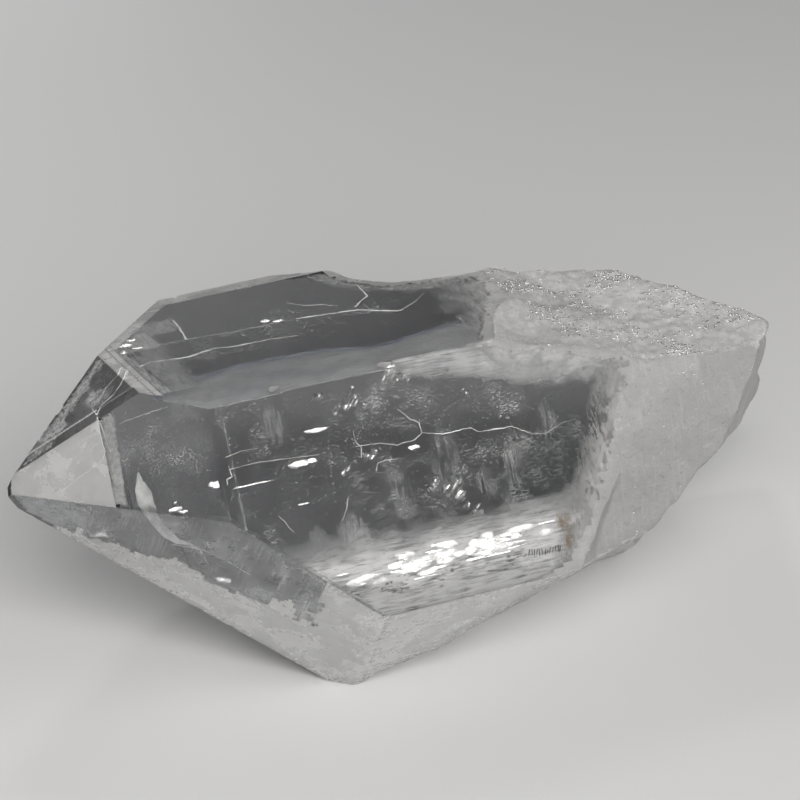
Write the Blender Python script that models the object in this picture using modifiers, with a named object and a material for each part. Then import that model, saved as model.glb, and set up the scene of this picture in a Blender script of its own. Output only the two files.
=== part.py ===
# Quartz crystal: one solid, a six-sided prism with a six-faced point at one
# end and a rough, irregular break at the other.
#
# Frame: metres, +Z up. The long axis lies along X with the point towards -X.
# The crystal lies on a prism face at z = 0; the origin is at the bottom
# centre of its bounding box.
#
# The faces of a crystal keep their angles but each grows to its own
# distance from the middle, so every face is given as three numbers:
#   azimuth  degrees about the long axis, 0 = towards -Y, 90 = up
#   lean     degrees between the face normal and the direction of the point
#            (about 90 for a prism face, about 52 for a face of the point)
#   reach    millimetres from the reference point to the face

import bpy
import bmesh
from math import sin, cos, radians
from mathutils import Matrix, Vector, noise

MM = 0.001

NAME = "quartz_crystal"

# prism faces, going round the long axis, and the lying face
PRISM_FACES = {
    "m_top":          (89.76, 88.63, 38.21),
    "m_front_upper":  (31.33, 90.22, 29.32),
    "m_front_lower":  (-28.85, 90.68, 16.04),
    "m_lying":        (-90.00, 90.00, 0.00),
    "m_back_lower":   (-149.35, 90.62, 5.60),
    "m_back_upper":   (150.78, 86.96, 33.30),
}

# the six faces of the point: three r and three z, alternating
POINT_FACES = {
    "r_top":          (87.29, 49.17, 54.35),
    "z_front_upper":  (31.27, 49.28, 44.50),
    "r_front_lower":  (-30.69, 51.95, 23.35),
    "z_lying":        (-89.49, 55.48, 11.47),
    "r_back_lower":   (-148.22, 52.57, 22.45),
    "z_back_upper":   (149.12, 51.92, 43.05),
}

# surfaces along which the crystal broke from its matrix (convex part)
BREAK_FACES = {
    "back":           (146.96, 104.02, 30.14),
    "back_end":       (115.31, 125.47, 45.60),
    "under":          (-48.23, 102.86, 8.23),
    "end_lower":      (-40.17, 120.52, 16.60),
    "end_middle":     (-12.64, 135.55, 32.60),
    "end_upper":      (-23.66, 131.87, 28.20),
}

# the point is a little blunt
TIP_CHIP = (63.00, 14.00, 56.75)

# hollows: the wedge beyond both planes is broken away
HOLLOWS = {
    "sugary_top":     ((80.93, 104.84, 39.40), (78.09, 92.17, 36.10)),
    "front_corner":   ((15.42, 91.93, 25.88), (-2.27, 126.85, 24.91)),
}

# a shell-shaped chip out of the upper back edge: centre and radii, mm
BACK_SCOOP = ((6.2, 14.9, 41.0), (13.0, 8.5, 9.0))

# shift from the reference point of the face table to the part's origin
ORIGIN_SHIFT = (-2.3155, 1.7648, 0.0)

BLOCK = 70.0            # half size of the starting block, mm
BREAK_CELL = 1.6        # cell size of the broken surface, mm
BREAK_SOFT = 1          # smoothing passes that round the broken edges
SWELL = 0.9             # height of the large lumps of the break, mm
SWELL_SIZE = 13.0       # their size, mm
LUMP = 0.45             # height of the small lumps, mm
LUMP_SIZE = 4.5         # their size, mm


def face_plane(azimuth, lean, reach):
    """Normal and one point of a face, in metres."""
    a, t = radians(azimuth), radians(lean)
    normal = Vector((-cos(t), -sin(t) * cos(a), sin(t) * sin(a)))
    return normal, normal * (reach * MM)


def new_object(name, bm, collection):
    mesh = bpy.data.meshes.new(name)
    bm.to_mesh(mesh)
    bm.free()
    obj = bpy.data.objects.new(name, mesh)
    collection.objects.link(obj)
    return obj


def block():
    bm = bmesh.new()
    bmesh.ops.create_cube(bm, size=2.0 * BLOCK * MM)
    return bm


def slice_off(bm, normal, point):
    """Cut away what lies beyond a plane and close the cut."""
    geom = bm.verts[:] + bm.edges[:] + bm.faces[:]
    cut = bmesh.ops.bisect_plane(bm, geom=geom, dist=1e-7, plane_co=point,
                                 plane_no=normal, clear_outer=True)
    edges = [e for e in cut["geom_cut"] if isinstance(e, bmesh.types.BMEdge)]
    if edges:
        bmesh.ops.holes_fill(bm, edges=edges, sides=0)
    bmesh.ops.recalc_face_normals(bm, faces=bm.faces[:])


def wedge(first, second):
    """The part of the block beyond both planes."""
    bm = block()
    for f in (first, second):
        normal, point = face_plane(*f)
        slice_off(bm, -normal, point)
    return bm


def as_cutter(obj):
    obj.hide_render = True
    obj.display_type = "WIRE"
    return obj


def cut_with(obj, cutter, operation):
    mod = obj.modifiers.new(cutter.name, "BOOLEAN")
    mod.object = cutter
    mod.operation = operation
    mod.solver = "EXACT"
    return mod


def frozen(obj, collection, name):
    """A plain mesh copy of the object with its modifiers applied."""
    bpy.context.view_layer.update()
    evaluated = obj.evaluated_get(bpy.context.evaluated_depsgraph_get())
    mesh = bpy.data.meshes.new_from_object(evaluated)
    copy = bpy.data.objects.new(name, mesh)
    collection.objects.link(copy)
    return copy


def swell(p):
    """Height of the broken surface above its plain shape, in metres."""
    q = Vector(p) / MM
    big = noise.noise(q / SWELL_SIZE + Vector((3.1, 7.7, 1.3)))
    small = noise.noise(q / LUMP_SIZE + Vector((9.2, 0.4, 5.8)))
    return (SWELL * big + LUMP * small) * MM


def main():
    for obj in list(bpy.data.objects):
        bpy.data.objects.remove(obj, do_unlink=True)

    scene = bpy.context.scene
    parts = bpy.data.collections.new(NAME)
    cutters = bpy.data.collections.new(NAME + "_cutters")
    scene.collection.children.link(parts)
    scene.collection.children.link(cutters)

    # the shape of the break: the block cut along the break faces and hollows,
    # then softened and swollen into an uneven surface
    bm = block()
    for f in BREAK_FACES.values():
        slice_off(bm, *face_plane(*f))
    # the break reaches only over the rear two thirds of the crystal; beyond
    # that the block is trimmed to just outside the crystal faces
    for f in PRISM_FACES.values():
        slice_off(bm, *face_plane(f[0], f[1], f[2] + 5.0))
    slice_off(bm, Vector((-1.0, 0.0, 0.0)), Vector((-32.0 * MM, 0.0, 0.0)))
    rough = as_cutter(new_object("break_block", bm, cutters))
    for name, (first, second) in HOLLOWS.items():
        cutter = as_cutter(new_object(name, wedge(first, second), cutters))
        cut_with(rough, cutter, "DIFFERENCE")
    centre, radii = BACK_SCOOP
    bm = bmesh.new()
    bmesh.ops.create_uvsphere(bm, u_segments=32, v_segments=20, radius=MM)
    bmesh.ops.scale(bm, verts=bm.verts[:], vec=radii)
    bmesh.ops.translate(bm, verts=bm.verts[:], vec=[c * MM for c in centre])
    cutter = as_cutter(new_object("back_scoop", bm, cutters))
    cut_with(rough, cutter, "DIFFERENCE")
    cells = rough.modifiers.new("cells", "REMESH")
    cells.mode = "VOXEL"
    cells.voxel_size = BREAK_CELL * MM
    soft = rough.modifiers.new("soft", "SMOOTH")
    soft.factor = 0.5
    soft.iterations = BREAK_SOFT
    body = as_cutter(frozen(rough, cutters, "break_body"))
    bm = bmesh.new()
    bm.from_mesh(body.data)
    bm.normal_update()
    moved = [(v, v.normal * swell(v.co)) for v in bm.verts]
    for v, step in moved:
        v.co += step
        if v.co.x < -29.0 * MM:          # stretch the far end past the point
            v.co.x -= 40.0 * MM
    bm.to_mesh(body.data)
    bm.free()

    # the crystal: prism, point and lying face from one six-sided column
    bm = bmesh.new()
    bmesh.ops.create_cone(bm, cap_ends=True, segments=6,
                          radius1=BLOCK * MM, radius2=BLOCK * MM,
                          depth=2.4 * BLOCK * MM)
    bmesh.ops.rotate(bm, verts=bm.verts[:], cent=(0, 0, 0),
                     matrix=Matrix.Rotation(radians(90.0), 3, "Y"))
    for f in list(PRISM_FACES.values()) + list(POINT_FACES.values()):
        slice_off(bm, *face_plane(*f))
    slice_off(bm, *face_plane(*TIP_CHIP))
    crystal = new_object(NAME, bm, parts)
    cut_with(crystal, body, "INTERSECT")

    solid = frozen(crystal, parts, NAME + "_solid")
    bm = bmesh.new()
    bm.from_mesh(solid.data)
    bmesh.ops.remove_doubles(bm, verts=bm.verts[:], dist=0.00002)
    bmesh.ops.dissolve_degenerate(bm, edges=bm.edges[:], dist=0.00001)
    bmesh.ops.triangulate(bm, faces=bm.faces[:])
    bmesh.ops.translate(bm, verts=bm.verts[:],
                        vec=[c * MM for c in ORIGIN_SHIFT])
    bm.to_mesh(solid.data)
    bm.free()
    bpy.data.objects.remove(crystal, do_unlink=True)
    solid.name = NAME

    mat = bpy.data.materials.new("clear_quartz")
    mat.use_nodes = True
    shader = mat.node_tree.nodes["Principled BSDF"]
    shader.inputs["Base Color"].default_value = (0.90, 0.91, 0.92, 1.0)
    shader.inputs["Roughness"].default_value = 0.12
    shader.inputs["Metallic"].default_value = 0.0
    shader.inputs["IOR"].default_value = 1.55
    shader.inputs["Transmission Weight"].default_value = 0.6
    solid.data.materials.clear()
    solid.data.materials.append(mat)


main()
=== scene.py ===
# Clear quartz crystal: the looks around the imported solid.
#
# Lengths inside this script are millimetres in the frame of the face table
# (point towards -X, +Z up, lying on z = 0); to_metres() moves a finished mesh
# into the part's frame. One outer shell carries the crystal faces, growth
# steps, chips and the broken surfaces, and everything sealed in the crystal
# (healed fractures, veils, flakes) is thin closed mesh inside it.

import random
from math import sin, cos, radians, pi, floor, sqrt, atan, exp

import bpy
import bmesh
from mathutils import Matrix, Vector, noise
from mathutils.bvhtree import BVHTree


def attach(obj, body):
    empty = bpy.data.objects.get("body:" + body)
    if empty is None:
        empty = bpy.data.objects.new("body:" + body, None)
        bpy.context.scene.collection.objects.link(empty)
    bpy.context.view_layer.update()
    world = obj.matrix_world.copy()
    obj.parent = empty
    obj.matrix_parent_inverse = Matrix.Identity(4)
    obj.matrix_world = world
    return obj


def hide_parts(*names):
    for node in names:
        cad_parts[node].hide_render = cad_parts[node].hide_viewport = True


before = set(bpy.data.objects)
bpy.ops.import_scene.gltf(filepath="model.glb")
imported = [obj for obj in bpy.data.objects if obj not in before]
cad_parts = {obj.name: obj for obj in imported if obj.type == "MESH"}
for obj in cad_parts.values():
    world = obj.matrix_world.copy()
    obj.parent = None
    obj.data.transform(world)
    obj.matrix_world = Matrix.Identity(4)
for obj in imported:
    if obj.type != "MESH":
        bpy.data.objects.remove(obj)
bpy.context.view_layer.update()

MM = 0.001
SHIFT = Vector((-2.3155, 1.7648, 0.0))
SEED = 11

# ------------------------------------------------------------------ the faces
# azimuth about the long axis (0 = -Y, 90 = up), lean from the direction of
# the point, reach from the reference point
PRISM_FACES = {
    "m_top":          (89.76, 88.63, 38.21),
    "m_front_upper":  (31.33, 90.22, 29.32),
    "m_front_lower":  (-28.85, 90.68, 16.04),
    "m_lying":        (-90.00, 90.00, 0.00),
    "m_back_lower":   (-149.35, 90.62, 5.60),
    "m_back_upper":   (150.78, 86.96, 33.30),
}
POINT_FACES = {
    "r_top":          (87.29, 49.17, 54.35),
    "z_front_upper":  (31.27, 49.28, 44.50),
    "r_front_lower":  (-30.69, 51.95, 23.35),
    "z_lying":        (-89.49, 55.48, 11.47),
    "r_back_lower":   (-148.22, 52.57, 22.45),
    "z_back_upper":   (149.12, 51.92, 43.05),
}
FACES = dict(PRISM_FACES)
FACES.update(POINT_FACES)
NAMES = list(FACES)
BREAK_FACES = {
    "back":           (146.96, 104.02, 30.14),
    "back_end":       (115.31, 125.47, 45.60),
    "under":          (-48.23, 102.86, 8.23),
    "end_lower":      (-40.17, 120.52, 16.60),
    "end_middle":     (-12.64, 135.55, 32.60),
    "end_upper":      (-23.66, 131.87, 28.20),
}
TIP_CHIP = (63.00, 14.00, 56.75)
HOLLOWS = {
    "sugary_top":     ((80.93, 104.84, 39.40), (78.09, 92.17, 36.10)),
    "front_corner":   ((15.42, 91.93, 25.88), (-2.27, 126.85, 24.91)),
}
BACK_SCOOP = ((6.2, 14.9, 41.0), (13.0, 8.5, 9.0))

# growth steps: along the edge between two faces, the first is lowered by
# `down` over a strip whose riser is the second face moved in by `back`
GROWTH_STEPS = [
    ("m_top", 0.05, "r_top", 2.10),
    ("m_top", 0.10, "r_top", 1.35),
    ("m_top", 0.15, "r_top", 0.90),
    ("r_top", 0.12, "z_front_upper", 0.95),
    ("m_front_upper", 0.06, "z_front_upper", 1.05),
    ("m_front_lower", 0.10, "r_front_lower", 0.55),
    ("r_front_lower", 0.07, "m_front_lower", 0.80),
    ("m_back_upper", 0.12, "z_back_upper", 1.10),
    ("m_back_lower", 0.10, "r_back_lower", 0.90),
    ("m_top", 0.10, "m_back_upper", 0.80),
    ("m_top", 0.07, "z_back_upper", 1.20),
]

BLOCK = 70.0
CELL = 0.42       # cell of the broken surface
LINE_STEP = 0.34   # spacing of the lines across the faces
SECTOR = 10.0                        # spacing of the lines along them, degrees
SWELL, SWELL_SIZE, LUMP, LUMP_SIZE = 0.9, 13.0, 0.45, 4.5

# material slots of the shell
CLEAR, SATIN, MILKY, FROST, SUGAR, BACK = range(6)


def direction(azimuth, lean):
    a, t = radians(azimuth), radians(lean)
    return Vector((-cos(t), -sin(t) * cos(a), sin(t) * sin(a)))


def plane(azimuth, lean, reach):
    n = direction(azimuth, lean)
    return n, n * reach


NORMAL = {k: direction(f[0], f[1]) for k, f in FACES.items()}
REACH = {k: f[2] for k, f in FACES.items()}


def on_face(name, a, b, depth=0.0):
    """A point given on a face: a along the crystal, b across, depth below."""
    n = NORMAL[name]
    t1 = Vector((1.0, 0.0, 0.0))
    t1 = (t1 - n * t1.dot(n)).normalized()
    t2 = n.cross(t1)
    return n * (REACH[name] - depth) + t1 * a + t2 * b


# beyond this line on the upper front face the face itself is frosted
_t1 = Vector((1.0, 0.0, 0.0)) - NORMAL["m_front_upper"] * NORMAL["m_front_upper"].x
_t2 = NORMAL["m_front_upper"].cross(_t1.normalized())
T2 = _t2.normalized()
END_LINE = (on_face("m_front_upper", 5.0, 0.0), (_t1.normalized() - 0.5 * _t2).normalized())
FROST_LINE = (on_face("m_front_upper", 9.2, 0.0), END_LINE[1])


# the end of the point beyond this line of the upper front point face is etched
_n = NORMAL["z_front_upper"]
POINT_AXIS = (Vector((1.0, 0.0, 0.0)) - _n * _n.x).normalized()
POINT_LINE = on_face("z_front_upper", -19.6, 0.0).dot(POINT_AXIS)


# ------------------------------------------------------------- mesh utilities
def smoothstep(lo, hi, x):
    t = min(1.0, max(0.0, (x - lo) / (hi - lo)))
    return t * t * (3.0 - 2.0 * t)


def scene_object(name, mesh):
    obj = bpy.data.objects.new(name, mesh)
    bpy.context.scene.collection.objects.link(obj)
    return obj


def from_bmesh(name, bm):
    mesh = bpy.data.meshes.new(name)
    bm.to_mesh(mesh)
    bm.free()
    return scene_object(name, mesh)


def block():
    bm = bmesh.new()
    bmesh.ops.create_cube(bm, size=2.0 * BLOCK)
    return bm


def slice_off(bm, normal, point):
    geom = bm.verts[:] + bm.edges[:] + bm.faces[:]
    cut = bmesh.ops.bisect_plane(bm, geom=geom, dist=1e-4, plane_co=point,
                                 plane_no=normal, clear_outer=True)
    edges = [e for e in cut["geom_cut"] if isinstance(e, bmesh.types.BMEdge)]
    if edges:
        bmesh.ops.holes_fill(bm, edges=edges, sides=0)
    bmesh.ops.recalc_face_normals(bm, faces=bm.faces[:])


def wedge(first, second):
    bm = block()
    for normal, point in (first, second):
        slice_off(bm, -normal, point)
    return bm


def applied(obj, *mods):
    """Apply the modifiers that mods(obj) adds and return the new mesh object."""
    for add in mods:
        add(obj)
    bpy.context.view_layer.update()
    dg = bpy.context.evaluated_depsgraph_get()
    mesh = bpy.data.meshes.new_from_object(obj.evaluated_get(dg))
    out = scene_object(obj.name + "_done", mesh)
    name = obj.name
    bpy.data.objects.remove(obj, do_unlink=True)
    out.name = name
    return out


def boolean(operation, cutter):
    def add(obj):
        mod = obj.modifiers.new("cut", "BOOLEAN")
        mod.object = cutter
        mod.operation = operation
        mod.solver = "MANIFOLD"
    return add


def voxels(size):
    def add(obj):
        mod = obj.modifiers.new("cells", "REMESH")
        mod.mode = "VOXEL"
        mod.voxel_size = size
    return add


def softened(times, factor=0.5):
    def add(obj):
        mod = obj.modifiers.new("soft", "SMOOTH")
        mod.factor = factor
        mod.iterations = times
    return add


def drop(obj):
    bpy.data.objects.remove(obj, do_unlink=True)


def to_metres(obj):
    obj.data.transform(Matrix.Diagonal((MM, MM, MM, 1.0)) @ Matrix.Translation(SHIFT))
    obj.data.update()


def kept(obj, *materials):
    """Hand a finished piece to the frame."""
    to_metres(obj)
    while len(obj.data.materials) < len(materials):
        obj.data.materials.append(None)
    for k, m in enumerate(materials):
        obj.data.materials[k] = m
    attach(obj, "root")
    return obj


# ------------------------------------------------------------------ the shell
def crystal_solid():
    """The faces of the crystal with their growth steps, crisp and closed."""
    bm = bmesh.new()
    bmesh.ops.create_cone(bm, cap_ends=True, segments=6, radius1=BLOCK,
                          radius2=BLOCK, depth=2.4 * BLOCK)
    bmesh.ops.rotate(bm, verts=bm.verts[:], cent=(0, 0, 0),
                     matrix=Matrix.Rotation(radians(90.0), 3, "Y"))
    for k in NAMES:
        slice_off(bm, *plane(*FACES[k]))
    slice_off(bm, *plane(*TIP_CHIP))
    edges = [(e.verts[0].co.copy(), e.verts[1].co.copy(),
              nearest_face(e.link_faces[0].normal), nearest_face(e.link_faces[1].normal))
             for e in bm.edges if len(e.link_faces) == 2]
    obj = from_bmesh("crystal_solid", bm)
    for low, down, riser, back in GROWTH_STEPS:
        n0, n1 = NORMAL[low], NORMAL[riser]
        cutter = from_bmesh("step", wedge((n0, n0 * (REACH[low] - down)),
                                          (n1, n1 * (REACH[riser] - back))))
        obj = applied(obj, boolean("DIFFERENCE", cutter))
        drop(cutter)
    return obj, edges


def nearest_face(normal):
    """Index of the crystal face this normal belongs to, or -1."""
    best, index = 0.985, -1
    for i, k in enumerate(NAMES):
        d = normal.dot(NORMAL[k])
        if d > best:
            best, index = d, i
    return index


def relief(i, p):
    """Depth in mm of the fine growth relief of face i at p, never negative."""
    o = Vector((1.7 * i, 3.1 * i, 0.6 * i))
    prism = i < len(PRISM_FACES)
    lines = noise.noise(Vector((p.x * 1.45, p.y * 0.05, p.z * 0.05)) + o)
    broad = noise.noise(Vector((p.x * 0.30, p.y * 0.06, p.z * 0.06)) - o)
    gate = smoothstep(-0.15, 0.45, noise.noise(p * 0.085 + o * 2.0))
    if prism:
        stepped = floor(lines * 5.0) / 5.0
        return 0.030 + 0.016 * gate * (0.65 * stepped + 0.35 * lines) + 0.022 * broad
    near = smoothstep(5.0, 0.0, abs(p.x - rm_edge_x(i)))
    stepped = floor(lines * 6.0) / 6.0
    hillock = noise.noise(p * 0.33 + o)
    return 0.022 + 0.006 * hillock + 0.010 * broad + 0.016 * near * stepped


def rm_edge_x(i):
    """x of the edge between a point face and the prism face behind it."""
    return {6: -42.5, 7: -34.0, 8: -18.0, 9: -17.5, 10: -29.5, 11: -28.8}.get(i, -30.0)


def rim_gap(p):
    """How far p on a crystal face is from the sugary hollow and the scoop, mm."""
    first, second = HOLLOWS["sugary_top"]
    n0, q0 = plane(*first)
    n1, q1 = plane(*second)
    wedge_gap = -min((p - q0).dot(n0), (p - q1).dot(n1))
    c, r = BACK_SCOOP
    q = Vector(((p.x - c[0]) / r[0], (p.y - c[1]) / r[1], (p.z - c[2]) / r[2])).length
    return min(wedge_gap, (q - 1.0) * 8.5) + swell(p)


def break_gap(p):
    """How far p on a crystal face is from the broken surfaces, mm."""
    gap = min(-(p - q).dot(m) for _, m, q in BREAKS[:6])
    corner = -min((p - BREAKS[8][2]).dot(BREAKS[8][1]), (p - BREAKS[9][2]).dot(BREAKS[9][1]))
    return min(gap, corner) + swell(p)


def corner_patch(p):
    """A white patch in the corner of the long low face of the point."""
    n = NORMAL["r_front_lower"]
    t1 = (Vector((1.0, 0.0, 0.0)) - n * n.x).normalized()
    a, b = p.dot(t1), p.dot(n.cross(t1))
    n = noise.noise(p * 0.5) + 0.5 * noise.noise(p * 1.7)
    return smoothstep(-12.9, -12.1, a + 0.4 * n) \
        * smoothstep(22.0, 22.8, b + 0.25 * (a + 9.0) + 0.9 * n)


def low_milk(p):
    """The milky lower half of the long low face of the point, ragged above."""
    n = NORMAL["r_front_lower"]
    t1 = (Vector((1.0, 0.0, 0.0)) - n * n.x).normalized()
    a, b = p.dot(t1), p.dot(n.cross(t1))
    ragged = 2.2 * noise.noise(Vector((a * 0.16, b * 0.3, 4.0))) \
        + 1.5 * noise.noise(Vector((a * 0.7, b * 0.9, 1.0))) \
        + 0.5 * noise.noise(Vector((a * 2.3, b * 1.1, 7.0)))
    return b < 19.6 + ragged - 3.0 * smoothstep(-36.0, -48.0, a) \
        + 4.5 * smoothstep(-12.5, -9.5, a + 0.25 * (b - 20.0))


def finish_at(name, p):
    """Which finish a crystal face has at p: most of it is clear."""
    if name == "r_front_lower" and (corner_patch(p) > 0.5 or low_milk(p)):
        return MILKY
    if name in ("r_front_lower", "z_lying", "r_top"):
        return SATIN
    if name == "m_front_lower":
        return MILKY
    if name == "m_front_upper":
        d = (p - FROST_LINE[0]).dot(FROST_LINE[1]) + 1.3 * noise.noise(p * 0.6) \
            + 1.1 * noise.noise(p * 2.3)
        if d > 0 or break_gap(p) < 1.1 + 0.4 * noise.noise(p * 1.1):
            return FROST
    if name in ("m_top", "m_front_upper") and \
            rim_gap(p) < 0.7 + 0.3 * noise.noise(p * 0.7) + 0.3 * noise.noise(p * 2.4):
        return MILKY if name == "m_top" else FROST
    if name == "z_front_upper":            # the end of the point is etched
        d = p.dot(POINT_AXIS) - POINT_LINE
        return MILKY if d < 0 else CLEAR
    if name == "m_top":                    # growth strip and worn back edge
        near = REACH["r_top"] - p.dot(NORMAL["r_top"])
        rear = REACH["m_back_upper"] - p.dot(NORMAL["m_back_upper"])
        left = REACH["z_back_upper"] - p.dot(NORMAL["z_back_upper"])
        return MILKY if near < 1.35 or rear < 1.7 or left < 1.2 else CLEAR
    return CLEAR


def ruled(obj):
    """Cut the crystal's faces by lines across and along, then carve relief."""
    bm = bmesh.new()
    bm.from_mesh(obj.data)
    drop(obj)
    tag = bm.faces.layers.int.new("facet")
    bm.normal_update()
    for f in bm.faces:
        f[tag] = nearest_face(f.normal) + 1
    def cut(point, normal):
        bmesh.ops.bisect_plane(bm, geom=bm.verts[:] + bm.edges[:] + bm.faces[:],
                               dist=2e-3, plane_co=point, plane_no=normal)
    for name, back in (("m_back_upper", 1.7), ("z_back_upper", 1.2)):
        cut(NORMAL[name] * (REACH[name] - back), NORMAL[name])
    centre = Vector((0.0, 0.6, 19.6))
    a = 4.0
    while a < 180.0:
        cut(centre, (0.0, sin(radians(a)), cos(radians(a))))
        a += SECTOR
    x = -53.0
    while x < 50.0:
        cut((x, 0, 0), (1, 0, 0))
        x += LINE_STEP * (0.8 + 0.4 * (0.5 + 0.5 * sin(x * 12.9898)))
    def finer(name, b0, b1, wanted):
        index = NAMES.index(name) + 1
        zone = [f for f in bm.faces if f[tag] == index and wanted(f)]
        turn = NORMAL[name].cross((on_face(name, 1.0, 0.0) - on_face(name, 0.0, 0.0)))
        b = b0
        while b < b1:
            geom = list({v for f in zone for v in f.verts}) \
                + list({e for f in zone for e in f.edges}) + zone
            cut_geom = bmesh.ops.bisect_plane(bm, geom=geom, dist=2e-3,
                                              plane_co=on_face(name, 0.0, b),
                                              plane_no=turn)["geom"]
            zone = [g for g in cut_geom if isinstance(g, bmesh.types.BMFace)]
            b += 0.45

    def by_hollow(f):
        return any(-1.0 < rim_gap(v.co) < 2.4 for v in f.verts)

    def by_break(f):
        return any(-1.0 < break_gap(v.co) < 2.4 for v in f.verts)

    finer("m_front_upper", -4.0, 28.0, lambda f: by_hollow(f) or by_break(f) or -3.0 < (
        f.calc_center_median() - FROST_LINE[0]).dot(FROST_LINE[1]) < 3.0)
    finer("m_top", -14.0, 14.0, by_hollow)
    finer("r_front_lower", 18.0, 30.0,
          lambda f: any(v.co.x > -19.0 for v in f.verts))
    finer("r_front_lower", 13.0, 25.0,
          lambda f: all(v.co.x < -19.0 for v in f.verts))
    for v in bm.verts:
        faces = {f[tag] - 1 for f in v.link_faces}
        faces.discard(-1)
        p = v.co.copy()
        for i in faces:
            if NAMES[i] == "m_lying":
                continue
            v.co -= NORMAL[NAMES[i]] * max(0.0, relief(i, p))
    for f in bm.faces:
        i = f[tag] - 1
        f.material_index = finish_at(NAMES[i], f.calc_center_median()) if i >= 0 else CLEAR
    bmesh.ops.remove_doubles(bm, verts=bm.verts[:], dist=5e-3)
    bmesh.ops.dissolve_degenerate(bm, edges=bm.edges[:], dist=3e-3)
    bmesh.ops.triangulate(bm, faces=[f for f in bm.faces if len(f.verts) > 4])
    return from_bmesh("crystal_faces", bm)


def chips(edges):
    """Small shell-shaped chips along the edges, as one cutter."""
    rng = random.Random(SEED)
    density = {  # chips per millimetre of edge
        frozenset(("m_top", "m_front_upper")): 0.30,
        frozenset(("r_front_lower", "z_lying")): 0.55,
        frozenset(("m_front_lower", "m_lying")): 0.35,
        frozenset(("m_top", "m_back_upper")): 0.40,
        frozenset(("r_top", "z_back_upper")): 0.35,
        frozenset(("m_front_upper", "m_front_lower")): 0.30,
        frozenset(("m_lying", "m_back_lower")): 0.30,
        frozenset(("m_back_upper", "m_back_lower")): 0.30,
    }
    placed = []
    bm = bmesh.new()
    mat = Matrix()

    def chip(at, out, r, depth, squash):
        centre = at + out * (r * squash - depth)
        for c, q in placed:
            if (c - centre).length < 1.15 * (q + r):
                return
        placed.append((centre, r))
        made = bmesh.ops.create_icosphere(bm, subdivisions=3 if r > 0.9 else 2,
                                          radius=r, matrix=mat)["verts"]
        side = out.orthogonal().normalized()
        other = out.cross(side)
        turn = rng.uniform(0, pi)
        u = side * cos(turn) + other * sin(turn)
        w = out.cross(u)
        for v in made:
            k = 1.0 + 0.16 * noise.noise(v.co * (1.7 / r) + centre)
            q = v.co * k
            v.co = centre + u * (q.x * 1.25) + w * (q.y * 0.85) + out * (q.z * squash)

    # the named chips
    top, front = NORMAL["m_top"], NORMAL["m_front_upper"]
    along = (top + front).normalized()
    chip(Vector((-11.6, -11.7, 38.0)), along, 2.0, 0.55, 0.7)
    chip(Vector((-36.6, -12.9, 37.4)), along, 0.7, 0.2, 0.7)
    for a, b, i, j in edges:
        if i < 0 or j < 0:
            continue
        d = density.get(frozenset((NAMES[i], NAMES[j])), 0.16)
        length = (b - a).length
        out = (NORMAL[NAMES[i]] + NORMAL[NAMES[j]]).normalized()
        for _ in range(int(d * length)):
            t = rng.random()
            big = rng.random() < 0.14
            r = rng.uniform(0.8, 1.5) if big else rng.uniform(0.22, 0.6)
            at = a.lerp(b, t)
            if at.x > 40.0 or at.z < 0.9 and "m_lying" in (NAMES[i], NAMES[j]) and big:
                continue
            chip(at, out, r, r * rng.uniform(0.16, 0.34), rng.uniform(0.55, 0.95))
    return from_bmesh("chips", bm)


def swell(p):
    big = noise.noise(p / SWELL_SIZE + Vector((3.1, 7.7, 1.3)))
    small = noise.noise(p / LUMP_SIZE + Vector((9.2, 0.4, 5.8)))
    return SWELL * big + LUMP * small


def facets(p, size, seed):
    """Height of a mosaic of tilted plane facets, about -0.5 .. 0.5."""
    q = p / size + Vector((seed, seed * 1.7, seed * 0.3))
    c = noise.voronoi(q)[1][0]
    tilt = noise.cell_vector(c * 7.31 + Vector((0.5, 0.5, 0.5))) * 2.0 - Vector((1, 1, 1))
    return (q - c).dot(tilt)


BREAKS = [("back",) + plane(*BREAK_FACES["back"]),
          ("back_end",) + plane(*BREAK_FACES["back_end"]),
          ("under",) + plane(*BREAK_FACES["under"]),
          ("end_lower",) + plane(*BREAK_FACES["end_lower"]),
          ("end_middle",) + plane(*BREAK_FACES["end_middle"]),
          ("end_upper",) + plane(*BREAK_FACES["end_upper"]),
          ("sugar_a",) + plane(*HOLLOWS["sugary_top"][0]),
          ("sugar_b",) + plane(*HOLLOWS["sugary_top"][1]),
          ("corner_a",) + plane(*HOLLOWS["front_corner"][0]),
          ("corner_b",) + plane(*HOLLOWS["front_corner"][1])]


def break_name(p, n):
    """Which broken surface a point with normal n lies on."""
    best, name = 9.0, "scoop"
    for k, m, q in BREAKS:
        d = abs((p - q).dot(m)) + 4.0 * (1.0 - n.dot(m))
        if d < best:
            best, name = d, k
    return name


def grain(name, p):
    """Fine relief of a broken surface in mm."""
    if name.startswith("sugar") or name == "scoop":
        fade = smoothstep(9.0, 20.0, p.x)
        return (0.16 * facets(p, 2.1, 2.0) + 0.12 * facets(p, 1.0, 5.0)
                + 0.05 * noise.noise(p * 2.2)) * (0.30 + 0.70 * fade)
    if name in ("back", "back_end"):
        return 0.20 * facets(p, 2.6, 8.0) + 0.08 * facets(p, 1.1, 3.0) \
            + 0.10 * noise.noise(p * 0.9)
    if name == "under":
        return 0.12 * facets(p, 2.2, 4.0) + 0.10 * noise.noise(p * 0.8) \
            + 0.05 * noise.noise(p * 2.4)
    ripple = sin(p.x * 1.9 + 2.2 * noise.noise(p * 0.22)) * 0.035
    return 0.10 * noise.noise(p * 0.55) + 0.045 * noise.noise(p * 1.9) \
        + 0.06 * facets(p, 2.4, 6.0) + ripple


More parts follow.
